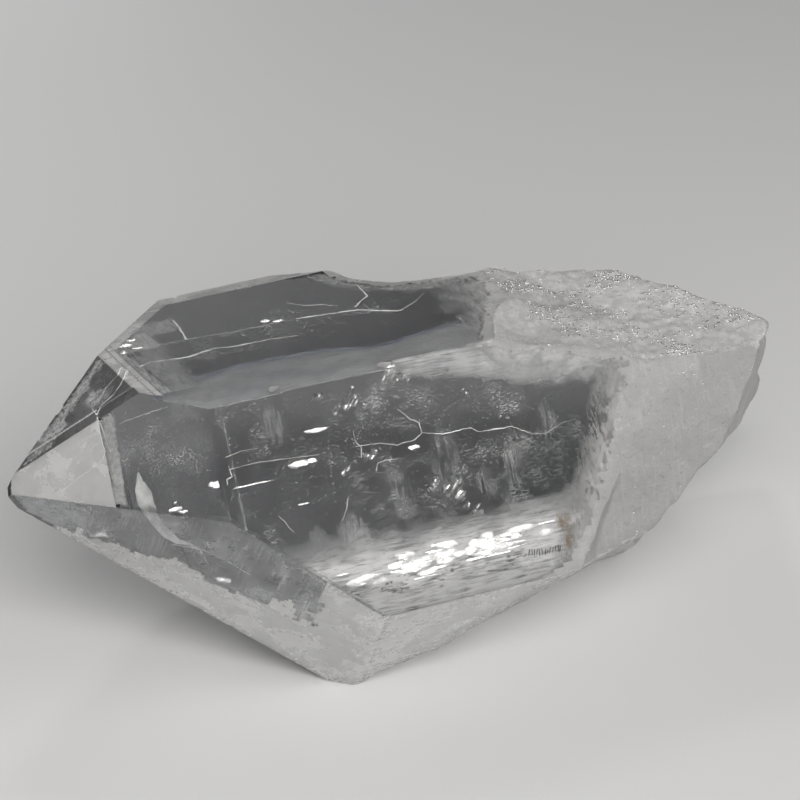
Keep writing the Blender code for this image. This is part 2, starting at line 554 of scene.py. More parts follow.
def break_body():
    bm = block()
    for f in BREAK_FACES.values():
        slice_off(bm, *plane(*f))
    for f in PRISM_FACES.values():
        slice_off(bm, *plane(f[0], f[1], f[2] + 2.5))
    slice_off(bm, Vector((-1.0, 0.0, 0.0)), Vector((-32.0, 0.0, 0.0)))
    rough = from_bmesh("break_body", bm)
    cutters = []
    for name, (first, second) in HOLLOWS.items():
        cutters.append(from_bmesh(name, wedge(plane(*first), plane(*second))))
    centre, radii = BACK_SCOOP
    bm = bmesh.new()
    bmesh.ops.create_uvsphere(bm, u_segments=32, v_segments=20, radius=1.0)
    bmesh.ops.scale(bm, verts=bm.verts[:], vec=radii)
    bmesh.ops.translate(bm, verts=bm.verts[:], vec=centre)
    cutters.append(from_bmesh("back_scoop", bm))
    rough = applied(rough, *[boolean("DIFFERENCE", c) for c in cutters])
    for c in cutters:
        drop(c)
    rough = applied(rough, voxels(CELL), softened(5))
    bm = bmesh.new()
    bm.from_mesh(rough.data)
    drop(rough)
    bm.normal_update()
    prism = [(NORMAL[k], REACH[k]) for k in PRISM_FACES]
    moves = []
    kind = {}
    for v in bm.verts:
        p = v.co
        if max(p.dot(n) - r for n, r in prism) > 1.6:
            continue                       # outside the crystal, never seen
        name = break_name(p, v.normal)
        kind[v.index] = name
        step = v.normal * (swell(p) + grain(name, p))
        moves.append((v, step))
    for v, step in moves:
        v.co += step
    for v in bm.verts:
        if v.co.x < -29.0:
            v.co.x -= 40.0
    for f in bm.faces:
        names = [kind.get(v.index, "") for v in f.verts]
        sugar = sum(n.startswith("sugar") or n == "scoop" for n in names)
        rear = sum(n.startswith("back") or n == "under" for n in names)
        f.material_index = SUGAR if sugar >= 2 else BACK if rear >= 2 else FROST
    return from_bmesh("break_body", bm)


def shell():
    solid, edges = crystal_solid()
    faces = ruled(solid)
    cutter = chips(edges)
    for f in cutter.data.polygons:
        f.material_index = FROST
    body = break_body()
    for o in (faces, cutter, body):
        for k in range(6):
            o.data.materials.append(None)
    faces = applied(faces, boolean("DIFFERENCE", cutter))
    drop(cutter)
    done = applied(faces, boolean("INTERSECT", body))
    drop(body)
    bm = bmesh.new()
    bm.from_mesh(done.data)
    bmesh.ops.remove_doubles(bm, verts=bm.verts[:], dist=0.004)
    bmesh.ops.dissolve_degenerate(bm, edges=bm.edges[:], dist=0.002)
    bmesh.ops.triangulate(bm, faces=[f for f in bm.faces if len(f.verts) > 4])
    bad = [e for e in bm.edges if len(e.link_faces) != 2]
    print("shell", len(bm.faces), "faces, open or odd edges", len(bad))
    bm.to_mesh(done.data)
    bm.free()
    done.name = "crystal_shell"
    done.data.name = "crystal_shell"
    done.data.shade_smooth()
    done.data.set_sharp_from_angle(angle=radians(24.0))
    done.data.update()
    return done


# --------------------------------------------------------- material utilities
def principled(name):
    mat = bpy.data.materials.new(name)
    mat.use_nodes = True
    nt = mat.node_tree
    return mat, nt, nt.nodes["Principled BSDF"]


def node(nt, kind, **values):
    n = nt.nodes.new(kind)
    for k, v in values.items():
        setattr(n, k, v)
    return n


def texture(nt, coords, scale, detail=3.0, rough=0.55, stretch=None, lookup="Fac",
            kind="ShaderNodeTexNoise", distortion=0.0):
    src = coords
    if stretch:
        m = node(nt, "ShaderNodeMapping")
        m.inputs["Scale"].default_value = stretch
        nt.links.new(src, m.inputs["Vector"])
        src = m.outputs["Vector"]
    t = node(nt, kind)
    t.inputs["Scale"].default_value = scale
    if "Detail" in t.inputs:
        t.inputs["Detail"].default_value = detail
        t.inputs["Roughness"].default_value = rough
    if "Distortion" in t.inputs:
        t.inputs["Distortion"].default_value = distortion
    nt.links.new(src, t.inputs["Vector"])
    return t.outputs[lookup]


def math(nt, op, a, b=None, c=None, clamp=False):
    m = node(nt, "ShaderNodeMath", operation=op, use_clamp=clamp)
    for i, v in enumerate((a, b, c)):
        if v is None:
            continue
        if isinstance(v, (int, float)):
            m.inputs[i].default_value = v
        else:
            nt.links.new(v, m.inputs[i])
    return m.outputs[0]


def remap(nt, value, lo, hi, to_lo=0.0, to_hi=1.0, smooth=True):
    m = node(nt, "ShaderNodeMapRange", clamp=True)
    m.interpolation_type = "SMOOTHSTEP" if smooth else "LINEAR"
    for k, v in zip(("From Min", "From Max", "To Min", "To Max"), (lo, hi, to_lo, to_hi)):
        m.inputs[k].default_value = v
    nt.links.new(value, m.inputs["Value"])
    return m.outputs["Result"]


def mix_colour(nt, fac, a, b):
    m = node(nt, "ShaderNodeMix", data_type="RGBA")
    for s, v in ((m.inputs[0], fac), (m.inputs[6], a), (m.inputs[7], b)):
        if isinstance(v, (int, float)):
            s.default_value = v
        elif isinstance(v, tuple):
            s.default_value = v
        else:
            nt.links.new(v, s)
    return m.outputs[2]


def bump(nt, height, strength, distance, normal=None):
    b = node(nt, "ShaderNodeBump")
    b.inputs["Strength"].default_value = strength
    b.inputs["Distance"].default_value = distance
    nt.links.new(height, b.inputs["Height"])
    if normal is not None:
        nt.links.new(normal, b.inputs["Normal"])
    return b.outputs["Normal"]


def place(nt):
    """Position in the crystal in millimetres."""
    c = node(nt, "ShaderNodeTexCoord")
    m = node(nt, "ShaderNodeMapping")
    m.inputs["Scale"].default_value = (1000.0, 1000.0, 1000.0)
    nt.links.new(c.outputs["Object"], m.inputs["Vector"])
    return m.outputs["Vector"]


def spot(nt, coords, centre, radius, soft=0.5):
    """1 inside a ball about a point of the table frame, 0 outside."""
    d = node(nt, "ShaderNodeVectorMath", operation="DISTANCE")
    nt.links.new(coords, d.inputs[0])
    d.inputs[1].default_value = Vector(centre) + SHIFT
    return remap(nt, d.outputs["Value"], radius * (1 - soft), radius, 1.0, 0.0)


IOR = 1.55
# neutral grey absorption, strong enough to darken the clear windows: painted shade standing in for dark surroundings
# seen through a clear crystal
PAINTED_SHADE_ABSORB = 47.0        # how much a metre of the crystal takes off, neutral


def glass(name, colour, rough, transmission):
    mat, nt, p = principled(name)
    # painted shade: grey absorption that darkens what is seen through the clear faces
    v = node(nt, "ShaderNodeVolumeAbsorption")
    v.inputs["Color"].default_value = (0.50, 0.50, 0.51, 1.0)
    v.inputs["Density"].default_value = PAINTED_SHADE_ABSORB
    nt.links.new(v.outputs["Volume"], nt.nodes["Material Output"].inputs["Volume"])
    p.inputs["Base Color"].default_value = colour
    p.inputs["Roughness"].default_value = rough
    p.inputs["IOR"].default_value = IOR
    p.inputs["Transmission Weight"].default_value = transmission
    p.inputs["Metallic"].default_value = 0.0
    return mat, nt, p


def clear_material():
    mat, nt, p = glass("quartz_clear_face", (0.985, 0.99, 0.992, 1.0), 0.02, 1.0)
    at = place(nt)
    # growth lines across the faces, dusty patches, fine scratches
    lines = texture(nt, at, 1.0, 4.0, 0.6, stretch=(4.5, 0.10, 0.10))
    patch = texture(nt, at, 0.11, 3.0, 0.6)
    dust = texture(nt, at, 2.6, 5.0, 0.7)
    lined = math(nt, "MULTIPLY", remap(nt, lines, 0.56, 0.75), remap(nt, patch, 0.45, 0.7))
    dusty = math(nt, "MULTIPLY", remap(nt, dust, 0.60, 0.78), remap(nt, patch, 0.5, 0.72))
    worn = math(nt, "ADD", math(nt, "MULTIPLY", lined, 0.10), math(nt, "MULTIPLY", dusty, 0.16))
    d = node(nt, "ShaderNodeVectorMath", operation="DOT_PRODUCT")
    nt.links.new(at, d.inputs[0])
    d.inputs[1].default_value = END_LINE[1]
    past = math(nt, "SUBTRACT", d.outputs["Value"], (END_LINE[0] + SHIFT).dot(END_LINE[1]))
    past = math(nt, "ADD", past, math(nt, "MULTIPLY", math(nt, "SUBTRACT", patch, 0.5), 5.0))
    end = remap(nt, past, -0.5, 5.0, 0.0, 0.42)
    worn = math(nt, "ADD", worn, end)
    nt.links.new(math(nt, "ADD", worn, 0.012, clamp=True), p.inputs["Roughness"])
    n = bump(nt, lines, 0.10, 0.00003)
    nt.links.new(n, p.inputs["Normal"])
    return mat


def satin_material():
    mat, nt, p = glass("quartz_satin_face", (0.96, 0.968, 0.975, 1.0), 0.2, 0.90)
    at = place(nt)
    lines = texture(nt, at, 1.0, 4.0, 0.6, stretch=(5.0, 0.10, 0.10))
    cloud = texture(nt, at, 0.22, 4.0, 0.65)
    fine = texture(nt, at, 3.1, 5.0, 0.7)
    a = math(nt, "MULTIPLY", remap(nt, cloud, 0.40, 0.66), 0.30)
    b = math(nt, "MULTIPLY", remap(nt, fine, 0.5, 0.7), 0.10)
    nt.links.new(math(nt, "ADD", math(nt, "ADD", a, b), 0.07, clamp=True), p.inputs["Roughness"])
    both = math(nt, "ADD", math(nt, "MULTIPLY", lines, 0.6), math(nt, "MULTIPLY", fine, 0.4))
    nt.links.new(bump(nt, both, 0.22, 0.00005), p.inputs["Normal"])
    return mat


def milky_material():
    mat, nt, p = glass("quartz_milky_face", (0.94, 0.935, 0.93, 1.0), 0.3, 0.60)
    at = place(nt)
    cloud = texture(nt, at, 0.30, 4.0, 0.65, stretch=(0.45, 1.2, 1.2), distortion=0.8)
    fine = texture(nt, at, 3.0, 5.0, 0.7)
    r = math(nt, "ADD", remap(nt, cloud, 0.35, 0.68, 0.12, 0.42),
             math(nt, "MULTIPLY", math(nt, "SUBTRACT", fine, 0.5), 0.2), clamp=True)
    nt.links.new(r, p.inputs["Roughness"])
    nt.links.new(mix_colour(nt, remap(nt, cloud, 0.35, 0.65), (0.80, 0.80, 0.80, 1.0),
                            (0.96, 0.955, 0.95, 1.0)), p.inputs["Base Color"])
    nt.links.new(bump(nt, fine, 0.25, 0.00006), p.inputs["Normal"])
    return mat


def frost_material(name="quartz_frosted_break", transmission=0.55, soft=0.45, tone=0.56):
    mat, nt, p = glass(name, (0.80, 0.79, 0.78, 1.0), 0.5, transmission)
    at = place(nt)
    cloud = texture(nt, at, 0.16, 4.0, 0.6)
    fine = texture(nt, at, 4.2, 6.0, 0.72)
    scaly = texture(nt, at, 0.9, 3.0, 0.6, stretch=(1.0, 1.0, 2.2), distortion=1.2)
    r = math(nt, "ADD", remap(nt, cloud, 0.3, 0.7, soft - 0.1, soft + 0.12),
             math(nt, "MULTIPLY", math(nt, "SUBTRACT", fine, 0.5), 0.25), clamp=True)
    nt.links.new(r, p.inputs["Roughness"])
    white = mix_colour(nt, remap(nt, cloud, 0.35, 0.7), tuple(tone * k for k in (0.93, 0.915, 0.90)) + (1.0,),
                       tuple(tone * k for k in (1.0, 0.99, 0.975)) + (1.0,))
    # grain: pale crumbs, shallow grey pits and fine upright lines; the grey follows the low places of the bump,
    # painted shade in the pits
    lines = texture(nt, at, 1.0, 3.0, 0.6, stretch=(3.0, 0.35, 0.22))
    grain = math(nt, "ADD", math(nt, "MULTIPLY", fine, 0.45), math(nt, "MULTIPLY", scaly, 0.55))
    white = mix_colour(nt, remap(nt, grain, 0.54, 0.66, 0.0, 0.75), white,
                       tuple(min(1.0, 1.45 * tone) * k for k in (1.0, 0.99, 0.98)) + (1.0,))
    # painted shade: darker where the bump pattern dips
    white = mix_colour(nt, remap(nt, grain, 0.46, 0.36, 0.0, 0.55), white,
                       tuple(0.45 * tone * k for k in (1.0, 0.98, 0.96)) + (1.0,))
    white = mix_colour(nt, remap(nt, lines, 0.55, 0.68, 0.0, 0.35), white,
                       tuple(min(1.0, 1.35 * tone) * k for k in (1.0, 0.995, 0.99)) + (1.0,))
    # faint iron-brown stains
    s = math(nt, "MULTIPLY", spot(nt, at, (9.0, -20.6, 13.8), 2.6, 0.7),
             remap(nt, texture(nt, at, 1.1, 4.0, 0.7), 0.42, 0.66))
    t = math(nt, "MULTIPLY", spot(nt, at, (40.0, -14.0, 17.0), 2.2, 0.7),
             remap(nt, texture(nt, at, 1.3, 4.0, 0.7), 0.45, 0.66))
    stain = math(nt, "ADD", s, t, clamp=True)
    nt.links.new(mix_colour(nt, math(nt, "MULTIPLY", stain, 0.55), white,
                            (0.62, 0.50, 0.38, 1.0)), p.inputs["Base Color"])
    h = math(nt, "ADD", math(nt, "MULTIPLY", fine, 0.5), math(nt, "MULTIPLY", scaly, 0.5))
    nt.links.new(bump(nt, h, 0.55, 0.00018), p.inputs["Normal"])
    return mat


def sugar_material():
    mat, nt, p = glass("quartz_sugary_break", (0.95, 0.94, 0.93, 1.0), 0.25, 0.45)
    at = place(nt)
    cell = node(nt, "ShaderNodeTexVoronoi", feature="F1")
    cell.inputs["Scale"].default_value = 1.5
    nt.links.new(at, cell.inputs["Vector"])
    fine = texture(nt, at, 3.5, 6.0, 0.7)
    split = node(nt, "ShaderNodeSeparateColor")
    nt.links.new(cell.outputs["Color"], split.inputs[0])
    r = math(nt, "ADD", remap(nt, split.outputs[0], 0.0, 1.0, 0.05, 0.50, smooth=False),
             math(nt, "MULTIPLY", math(nt, "SUBTRACT", fine, 0.5), 0.2), clamp=True)
    nt.links.new(r, p.inputs["Roughness"])
    white = mix_colour(nt, split.outputs[1], (0.80, 0.79, 0.78, 1.0), (0.97, 0.965, 0.955, 1.0))
    nt.links.new(white, p.inputs["Base Color"])
    h = math(nt, "ADD", math(nt, "MULTIPLY", split.outputs[2], 0.3),
             math(nt, "MULTIPLY", fine, 0.7))
    nt.links.new(bump(nt, h, 0.5, 0.00015), p.inputs["Normal"])
    return mat


def sealed_material(name, colour, rough, lo, hi, scale, stretch=None, metallic=0.0,
                    edges=(0.40, 0.62), hazed=True):
    """A thin sealed film: white where it scatters, see-through between."""
    mat, nt, p = principled(name)
    p.inputs["Base Color"].default_value = colour
    p.inputs["Roughness"].default_value = rough
    p.inputs["Metallic"].default_value = metallic
    p.inputs["IOR"].default_value = 1.3
    at = place(nt)
    a = texture(nt, at, scale, 3.5, 0.68, stretch=stretch)
    b = texture(nt, at, scale * 0.27, 1.0, 0.6)
    both = math(nt, "ADD", math(nt, "MULTIPLY", a, 0.62), math(nt, "MULTIPLY", b, 0.38))
    alpha = remap(nt, both, edges[0], edges[1], lo, hi)
    if hazed:
        d = node(nt, "ShaderNodeAttribute", attribute_name="haze")
        alpha = math(nt, "MULTIPLY", alpha, d.outputs["Fac"], clamp=True)
    nt.links.new(alpha, p.inputs["Alpha"])
    return mat


# ------------------------------------------------------------- sealed features
def smooth_path(points, step=0.45):
    """Points every `step` mm along a polyline."""
    out = [points[0].copy()]
    for a, b in zip(points, points[1:]):
        n = max(1, int(round((b - a).length / step)))
        for i in range(1, n + 1):
            out.append(a.lerp(b, i / n))
    return out


def slab(bm, rows, thick, haze=None):
    """A thin closed solid about a grid of points; thick(i, j) is its half
    thickness, haze(i, j) how much it scatters."""
    n, m = len(rows), len(rows[0])
    layer = bm.verts.layers.float.get("haze") or bm.verts.layers.float.new("haze")
    up, dn = [], []
    for i in range(n):
        u_row, d_row = [], []
        for j in range(m):
            p = rows[i][j]
            di = rows[min(i + 1, n - 1)][j] - rows[max(i - 1, 0)][j]
            dj = rows[i][min(j + 1, m - 1)] - rows[i][max(j - 1, 0)]
            nn = di.cross(dj)
            nn = nn.normalized() if nn.length > 1e-9 else Vector((0, 0, 1))
            t = thick(i, j)
            u_row.append(bm.verts.new(p + nn * t))
            d_row.append(bm.verts.new(p - nn * t))
            for vert in (u_row[-1], d_row[-1]):
                vert[layer] = haze(i, j) if haze else 1.0
        up.append(u_row)
        dn.append(d_row)
    for i in range(n - 1):
        for j in range(m - 1):
            bm.faces.new((up[i][j], up[i + 1][j], up[i + 1][j + 1], up[i][j + 1]))
            bm.faces.new((dn[i][j], dn[i][j + 1], dn[i + 1][j + 1], dn[i + 1][j]))
    ring = [(i, 0) for i in range(n)] + [(n - 1, j) for j in range(1, m)] + \
           [(i, m - 1) for i in range(n - 2, -1, -1)] + [(0, j) for j in range(m - 2, 0, -1)]
    for (a, b), (c, d) in zip(ring, ring[1:] + ring[:1]):
        bm.faces.new((up[a][b], dn[a][b], dn[c][d], up[c][d]))


def crack(bm, lines, face, path, depth, start, jitter=0.10, width=0.045, seed=0, cols=7,
          bright=1.0):
    """A healed crack: a thin wavy sheet reaching down from a line on a face,
    and the bright lip where it comes nearest to the face."""
    n = NORMAL[face]
    down = -n
    pts = smooth_path([on_face(face, a, b, start) for a, b in path], 0.35)
    rows, lip = [], []
    count = len(pts)
    for i, p in enumerate(pts):
        t = i / max(1, count - 1)
        reach = depth * (0.25 + 0.75 * sin(pi * min(1.0, max(0.0, 0.04 + 0.92 * t))) ** 0.6)
        reach *= 0.75 + 0.5 * (0.5 + 0.5 * noise.noise(p * 0.5 + Vector((seed, 0, 0))))
        side = (pts[min(i + 1, count - 1)] - pts[max(i - 1, 0)]).cross(down)
        side = side.normalized() if side.length > 1e-6 else Vector((0, 0, 1))
        off = side * (jitter * noise.noise(p * 1.9 + Vector((seed * 3.0, 1, 2))))
        lip.append((p + off, side, down))
        row = []
        for j in range(cols):
            s = j / (cols - 1)
            wave = side * (0.35 * reach * s * noise.noise(p * 0.35 + Vector((0, seed, s * 1.3))))
            row.append(p + off + down * (reach * s) + wave)
        rows.append(row)
    slab(bm, rows, lambda i, j: width * 0.5 * (
        0.35 if i in (0, count - 1) or j in (0, cols - 1) else 1.0))
    # the lip: a flat ribbon of uneven width, facing out of the crystal
    strip = []
    for i, (p, side, low) in enumerate(lip):
        t = i / max(1, count - 1)
        w = bright * 0.060 * (0.45 + 0.55 * sin(pi * min(1.0, 0.06 + 0.9 * t)))
        w *= 0.7 + 0.9 * max(0.0, 0.35 + noise.noise(p * 0.8 + Vector((seed, 5, 1))))
        strip.append([p - low * 0.03 - side * w, p - low * 0.05, p - low * 0.03 + side * w])
    slab(lines, strip, lambda i, j: 0.02)


def film(bm, centre, u, v, half_u, half_v, n=14, m=10, bulge=0.12, wave=0.25, thick=0.03,
         seed=0, ragged=0.25, fade=1.0, power=0.6):
    """A sealed film: a wavy, roughly oval sheet that thins out to its rim."""
    w = u.cross(v).normalized()
    rows = []
    for i in range(n + 1):
        a = -1.0 + 2.0 * i / n
        row = []
        for j in range(m + 1):
            b = -1.0 + 2.0 * j / m
            # square to disc, with a ragged rim
            x, y = a * sqrt(max(0.0, 1 - b * b / 2)), b * sqrt(max(0.0, 1 - a * a / 2))
            rim = 1.0 + ragged * noise.noise(Vector((x * 1.6 + seed, y * 1.6, seed * 0.7)))
            x, y = x * rim * half_u, y * rim * half_v
            p = centre + u * x + v * y
            h = bulge * half_v * (1.0 - (a * a + b * b) * 0.5)
            h += wave * noise.noise(p * 0.45 + Vector((seed, seed, 0)))
            row.append(p + w * h)
        rows.append(row)
    def haze(i, j):
        a, b = -1.0 + 2.0 * i / n, -1.0 + 2.0 * j / m
        r2 = a * a + b * b - a * a * b * b          # 1 all along the rim
        return max(0.0, 1.0 - r2) ** power * fade + (1.0 - fade)

    slab(bm, rows, lambda i, j: thick * (0.3 if i in (0, n) or j in (0, m) else 1.0), haze)


def flake(bm, p, u, v, size, thin):
    """A six-sided lens."""
    w = u.cross(v).normalized()
    top = bm.verts.new(p + w * thin)
    low = bm.verts.new(p - w * thin)
    ring = [bm.verts.new(p + u * (cos(k * pi / 3) * size) + v * (sin(k * pi / 3) * size))
            for k in range(6)]
    for k in range(6):
        a, b = ring[k], ring[(k + 1) % 6]
        bm.faces.new((top, a, b))
        bm.faces.new((low, b, a))


def inside(p, margin=0.6):
    """True if p is inside the crystal and clear of its surfaces."""
    for k in NAMES:
        if p.dot(NORMAL[k]) > REACH[k] - margin:
            return False
    for k, m, q in BREAKS[:6]:
        if (p - q).dot(m) > -(margin + 1.0):
            return False
    for a, b in ((6, 7), (8, 9)):
        if (p - BREAKS[a][2]).dot(BREAKS[a][1]) > -(margin + 0.8) and \
                (p - BREAKS[b][2]).dot(BREAKS[b][1]) > -(margin + 0.8):
            return False
    c, r = BACK_SCOOP
    q = Vector(((p.x - c[0]) / (r[0] + margin), (p.y - c[1]) / (r[1] + margin),
                (p.z - c[2]) / (r[2] + margin)))
    return q.length > 1.08


def finish_bm(name, bm):
    bmesh.ops.recalc_face_normals(bm, faces=bm.faces[:])
    obj = from_bmesh(name, bm)
    obj.data.shade_smooth()
    return obj


def cracks():
    bm, lines = bmesh.new(), bmesh.new()
    top, fu = "m_top", "m_front_upper"
    crack(bm, lines, top, [(-36.4, -0.1), (-34.9, 0.3), (-30.3, -0.2), (-26.9, 0.6), (-24.6, 0.1),
                     (-20.3, 0.1), (-16.4, -0.3)], 2.6, 0.10, seed=1, bright=2.6)
    crack(bm, lines, top, [(-34.2, 4.1), (-27.9, 4.1), (-23.0, 3.7), (-14.8, 3.8)], 1.2, 0.14, seed=20,
          bright=1.3)
    crack(bm, lines, top, [(-14.8, 3.8), (-7.1, 3.0), (-2.5, 0.6)], 1.6, 0.10, seed=2, bright=2.6)
    crack(bm, lines, top, [(-28.1, 9.6), (-28.3, 7.0), (-28.8, 4.0)], 0.4, 0.10, seed=21, bright=2.0)
    crack(bm, lines, top, [(-13.9, 8.3), (-12.0, 6.6), (-10.4, 6.2), (-8.7, 5.0)], 0.5, 0.14, seed=22,
          bright=1.6)
    crack(bm, lines, "r_top", [(-5.3, 1.4), (-6.4, 0.8), (-8.2, 0.6), (-9.6, -0.2), (-10.9, -0.2),
                               (-10.9, -1.8)], 0.5, 0.10, seed=23, bright=1.5)
    crack(bm, lines, "r_top", [(-5.0, 0.3), (-6.5, -0.8), (-8.0, -1.3), (-10.0, -1.1), (-10.9, -1.8)],
          0.5, 0.10, seed=24, bright=1.3)
    crack(bm, lines, "z_front_upper", [(-19.7, 26.9), (-19.4, 25.8), (-19.2, 24.7), (-19.1, 23.5),
                                       (-18.9, 22.7)], 0.5, 0.10, seed=25, bright=1.1)
    crack(bm, lines, top, [(-4.0, 9.7), (-4.0, 7.8), (-4.2, 6.0), (-5.3, 5.2), (-7.0, 3.8)],
          0.8, 0.10, seed=3, bright=2.2)
    crack(bm, lines, top, [(-5.6, 4.4), (-5.5, 2.2), (-4.2, 1.3), (-2.4, 0.8), (0.4, 2.3), (2.6, 4.1)],
          0.7, 0.35, seed=4, bright=1.6)
    crack(bm, lines, fu, [(-17.4, 17.8), (-14.3, 17.6), (-12.3, 17.0), (-10.0, 17.2), (-8.8, 17.8),
                   (-6.2, 17.2), (-2.7, 17.3), (-1.5, 16.6), (2.7, 16.5), (5.3, 15.1),
                   (7.0, 14.9), (8.2, 15.3), (10.1, 15.8)], 2.6, 0.10, seed=5, width=0.055, bright=0.85)
    crack(bm, lines, fu, [(-11.3, 21.0), (-9.9, 19.6), (-8.9, 19.0), (-8.9, 17.9)], 1.2, 0.12, seed=6)
    crack(bm, lines, fu, [(-17.3, 19.6), (-17.3, 18.4), (-16.7, 17.5), (-17.0, 16.4)], 1.0, 0.12, seed=7)
    crack(bm, lines, fu, [(-15.5, 14.6), (-15.1, 15.4), (-14.0, 15.6), (-12.5, 15.4)], 0.9, 0.2, seed=8)
    crack(bm, lines, fu, [(-33.2, 18.0), (-30.4, 18.2), (-26.7, 18.0), (-21.9, 17.7)], 1.0, 0.12, seed=9,
          bright=0.45)
    crack(bm, lines, fu, [(-33.2, 19.4), (-31.2, 19.8), (-29.1, 19.7)], 0.5, 0.12, seed=10, bright=0.35)
    crack(bm, lines, fu, [(-33.0, 18.0), (-32.9, 17.2), (-33.6, 17.0), (-33.6, 16.4)], 0.4, 0.12, seed=11, bright=0.5)
    crack(bm, lines, fu, [(-19.5, 12.4), (-20.0, 11.0), (-20.8, 9.8)], 0.8, 0.4, seed=12)
    crack(bm, lines, fu, [(-28.3, 11.9), (-27.8, 11.1), (-27.1, 9.9)], 0.6, 0.4, seed=13)
    crack(bm, lines, fu, [(7.6, 15.2), (8.3, 15.9), (9.2, 16.6)], 0.2, 0.15, seed=14, bright=0.6)
    crack(bm, lines, fu, [(7.0, 14.9), (6.8, 13.5), (6.4, 12.0)], 0.2, 0.15, seed=15, bright=0.4)
    crack(bm, lines, "z_front_upper", [(-17.2, 25.6), (-14.7, 26.0), (-11.2, 26.3)], 0.8, 0.3, seed=16)
    crack(bm, lines, "z_front_upper", [(-19.8, 26.7), (-19.7, 24.7), (-19.5, 22.9), (-20.0, 22.1),
                                (-23.1, 20.7), (-26.1, 19.4)], 0.5, 0.08, seed=17, width=0.035,
          bright=0.5)
    crack(bm, lines, "r_front_lower", [(-30.1, 23.2), (-27.0, 24.4), (-23.9, 24.2), (-20.6, 23.2)],
          0.8, 0.3, seed=18)
    return finish_bm("healed_cracks", bm), finish_bm("crack_lips", lines)


def blade():
    """The curved leaf-shaped fracture that crosses the edge below the point."""
    bm = bmesh.new()
    z, r = "z_front_upper", "r_front_lower"
    left = [on_face(z, -16.3, 19.8, .2), on_face(z, -17.0, 17.9, .2), on_face(z, -17.1, 16.6, .22),
            on_face(r, -35.1, 27.6, .45), on_face(r, -32.8, 25.1, .5), on_face(r, -31.3, 23.8, .5),
            on_face(r, -29.7, 23.4, .5), on_face(r, -28.3, 24.3, .5), on_face(r, -27.0, 23.8, .5),
            on_face(r, -25.4, 21.8, .45)]
    right = [on_face(z, -16.2, 19.7, .35), on_face(z, -15.9, 18.8, .45), on_face(z, -15.2, 17.5, .55),
             on_face(z, -15.2, 16.2, .6), on_face(r, -32.9, 27.6, .7), on_face(r, -31.4, 25.7, .7),
             on_face(r, -29.4, 24.5, .6), on_face(r, -28.2, 24.6, .6), on_face(r, -27.1, 24.3, .6),
             on_face(r, -25.3, 21.9, .5)]
    rows = []
    for k in range(len(left) - 1):
        steps = 5
        for s in range(steps + (k == len(left) - 2)):
            a = left[k].lerp(left[k + 1], s / steps)
            b = right[k].lerp(right[k + 1], s / steps)
            a = a + Vector((0.10, 0.10, 0.05)) * noise.noise(a * 1.3)
            b = b + Vector((0.15, 0.10, 0.10)) * noise.noise(b * 1.7)
            row = []
            for j in range(7):
                p = a.lerp(b, j / 6)
                row.append(p + (-NORMAL[r]) * (0.16 * sin(pi * j / 6) + 0.06 * noise.noise(p * 2.0)))
            rows.append(row)
    n = len(rows)
    slab(bm, rows, lambda i, j: 0.035 * (0.35 if i in (0, n - 1) or j in (0, 6) else 1.0))
    return finish_bm("leaf_fracture", bm)


def within(direction, n):
    """A direction outside the face with normal n, as it runs inside."""
    tangent = (direction - n * direction.dot(n)) / IOR
    return tangent + n * sqrt(max(0.0, 1.0 - tangent.length_squared))


VIEW = Vector((-0.432, -0.785, 0.445))
KEY = Vector((-0.18, -0.54, 0.41)).normalized()
EYE_AT = Vector((-142.18, -246.82, 167.15))
KEY_AT = Vector((-180.0, -540.0, 430.0))


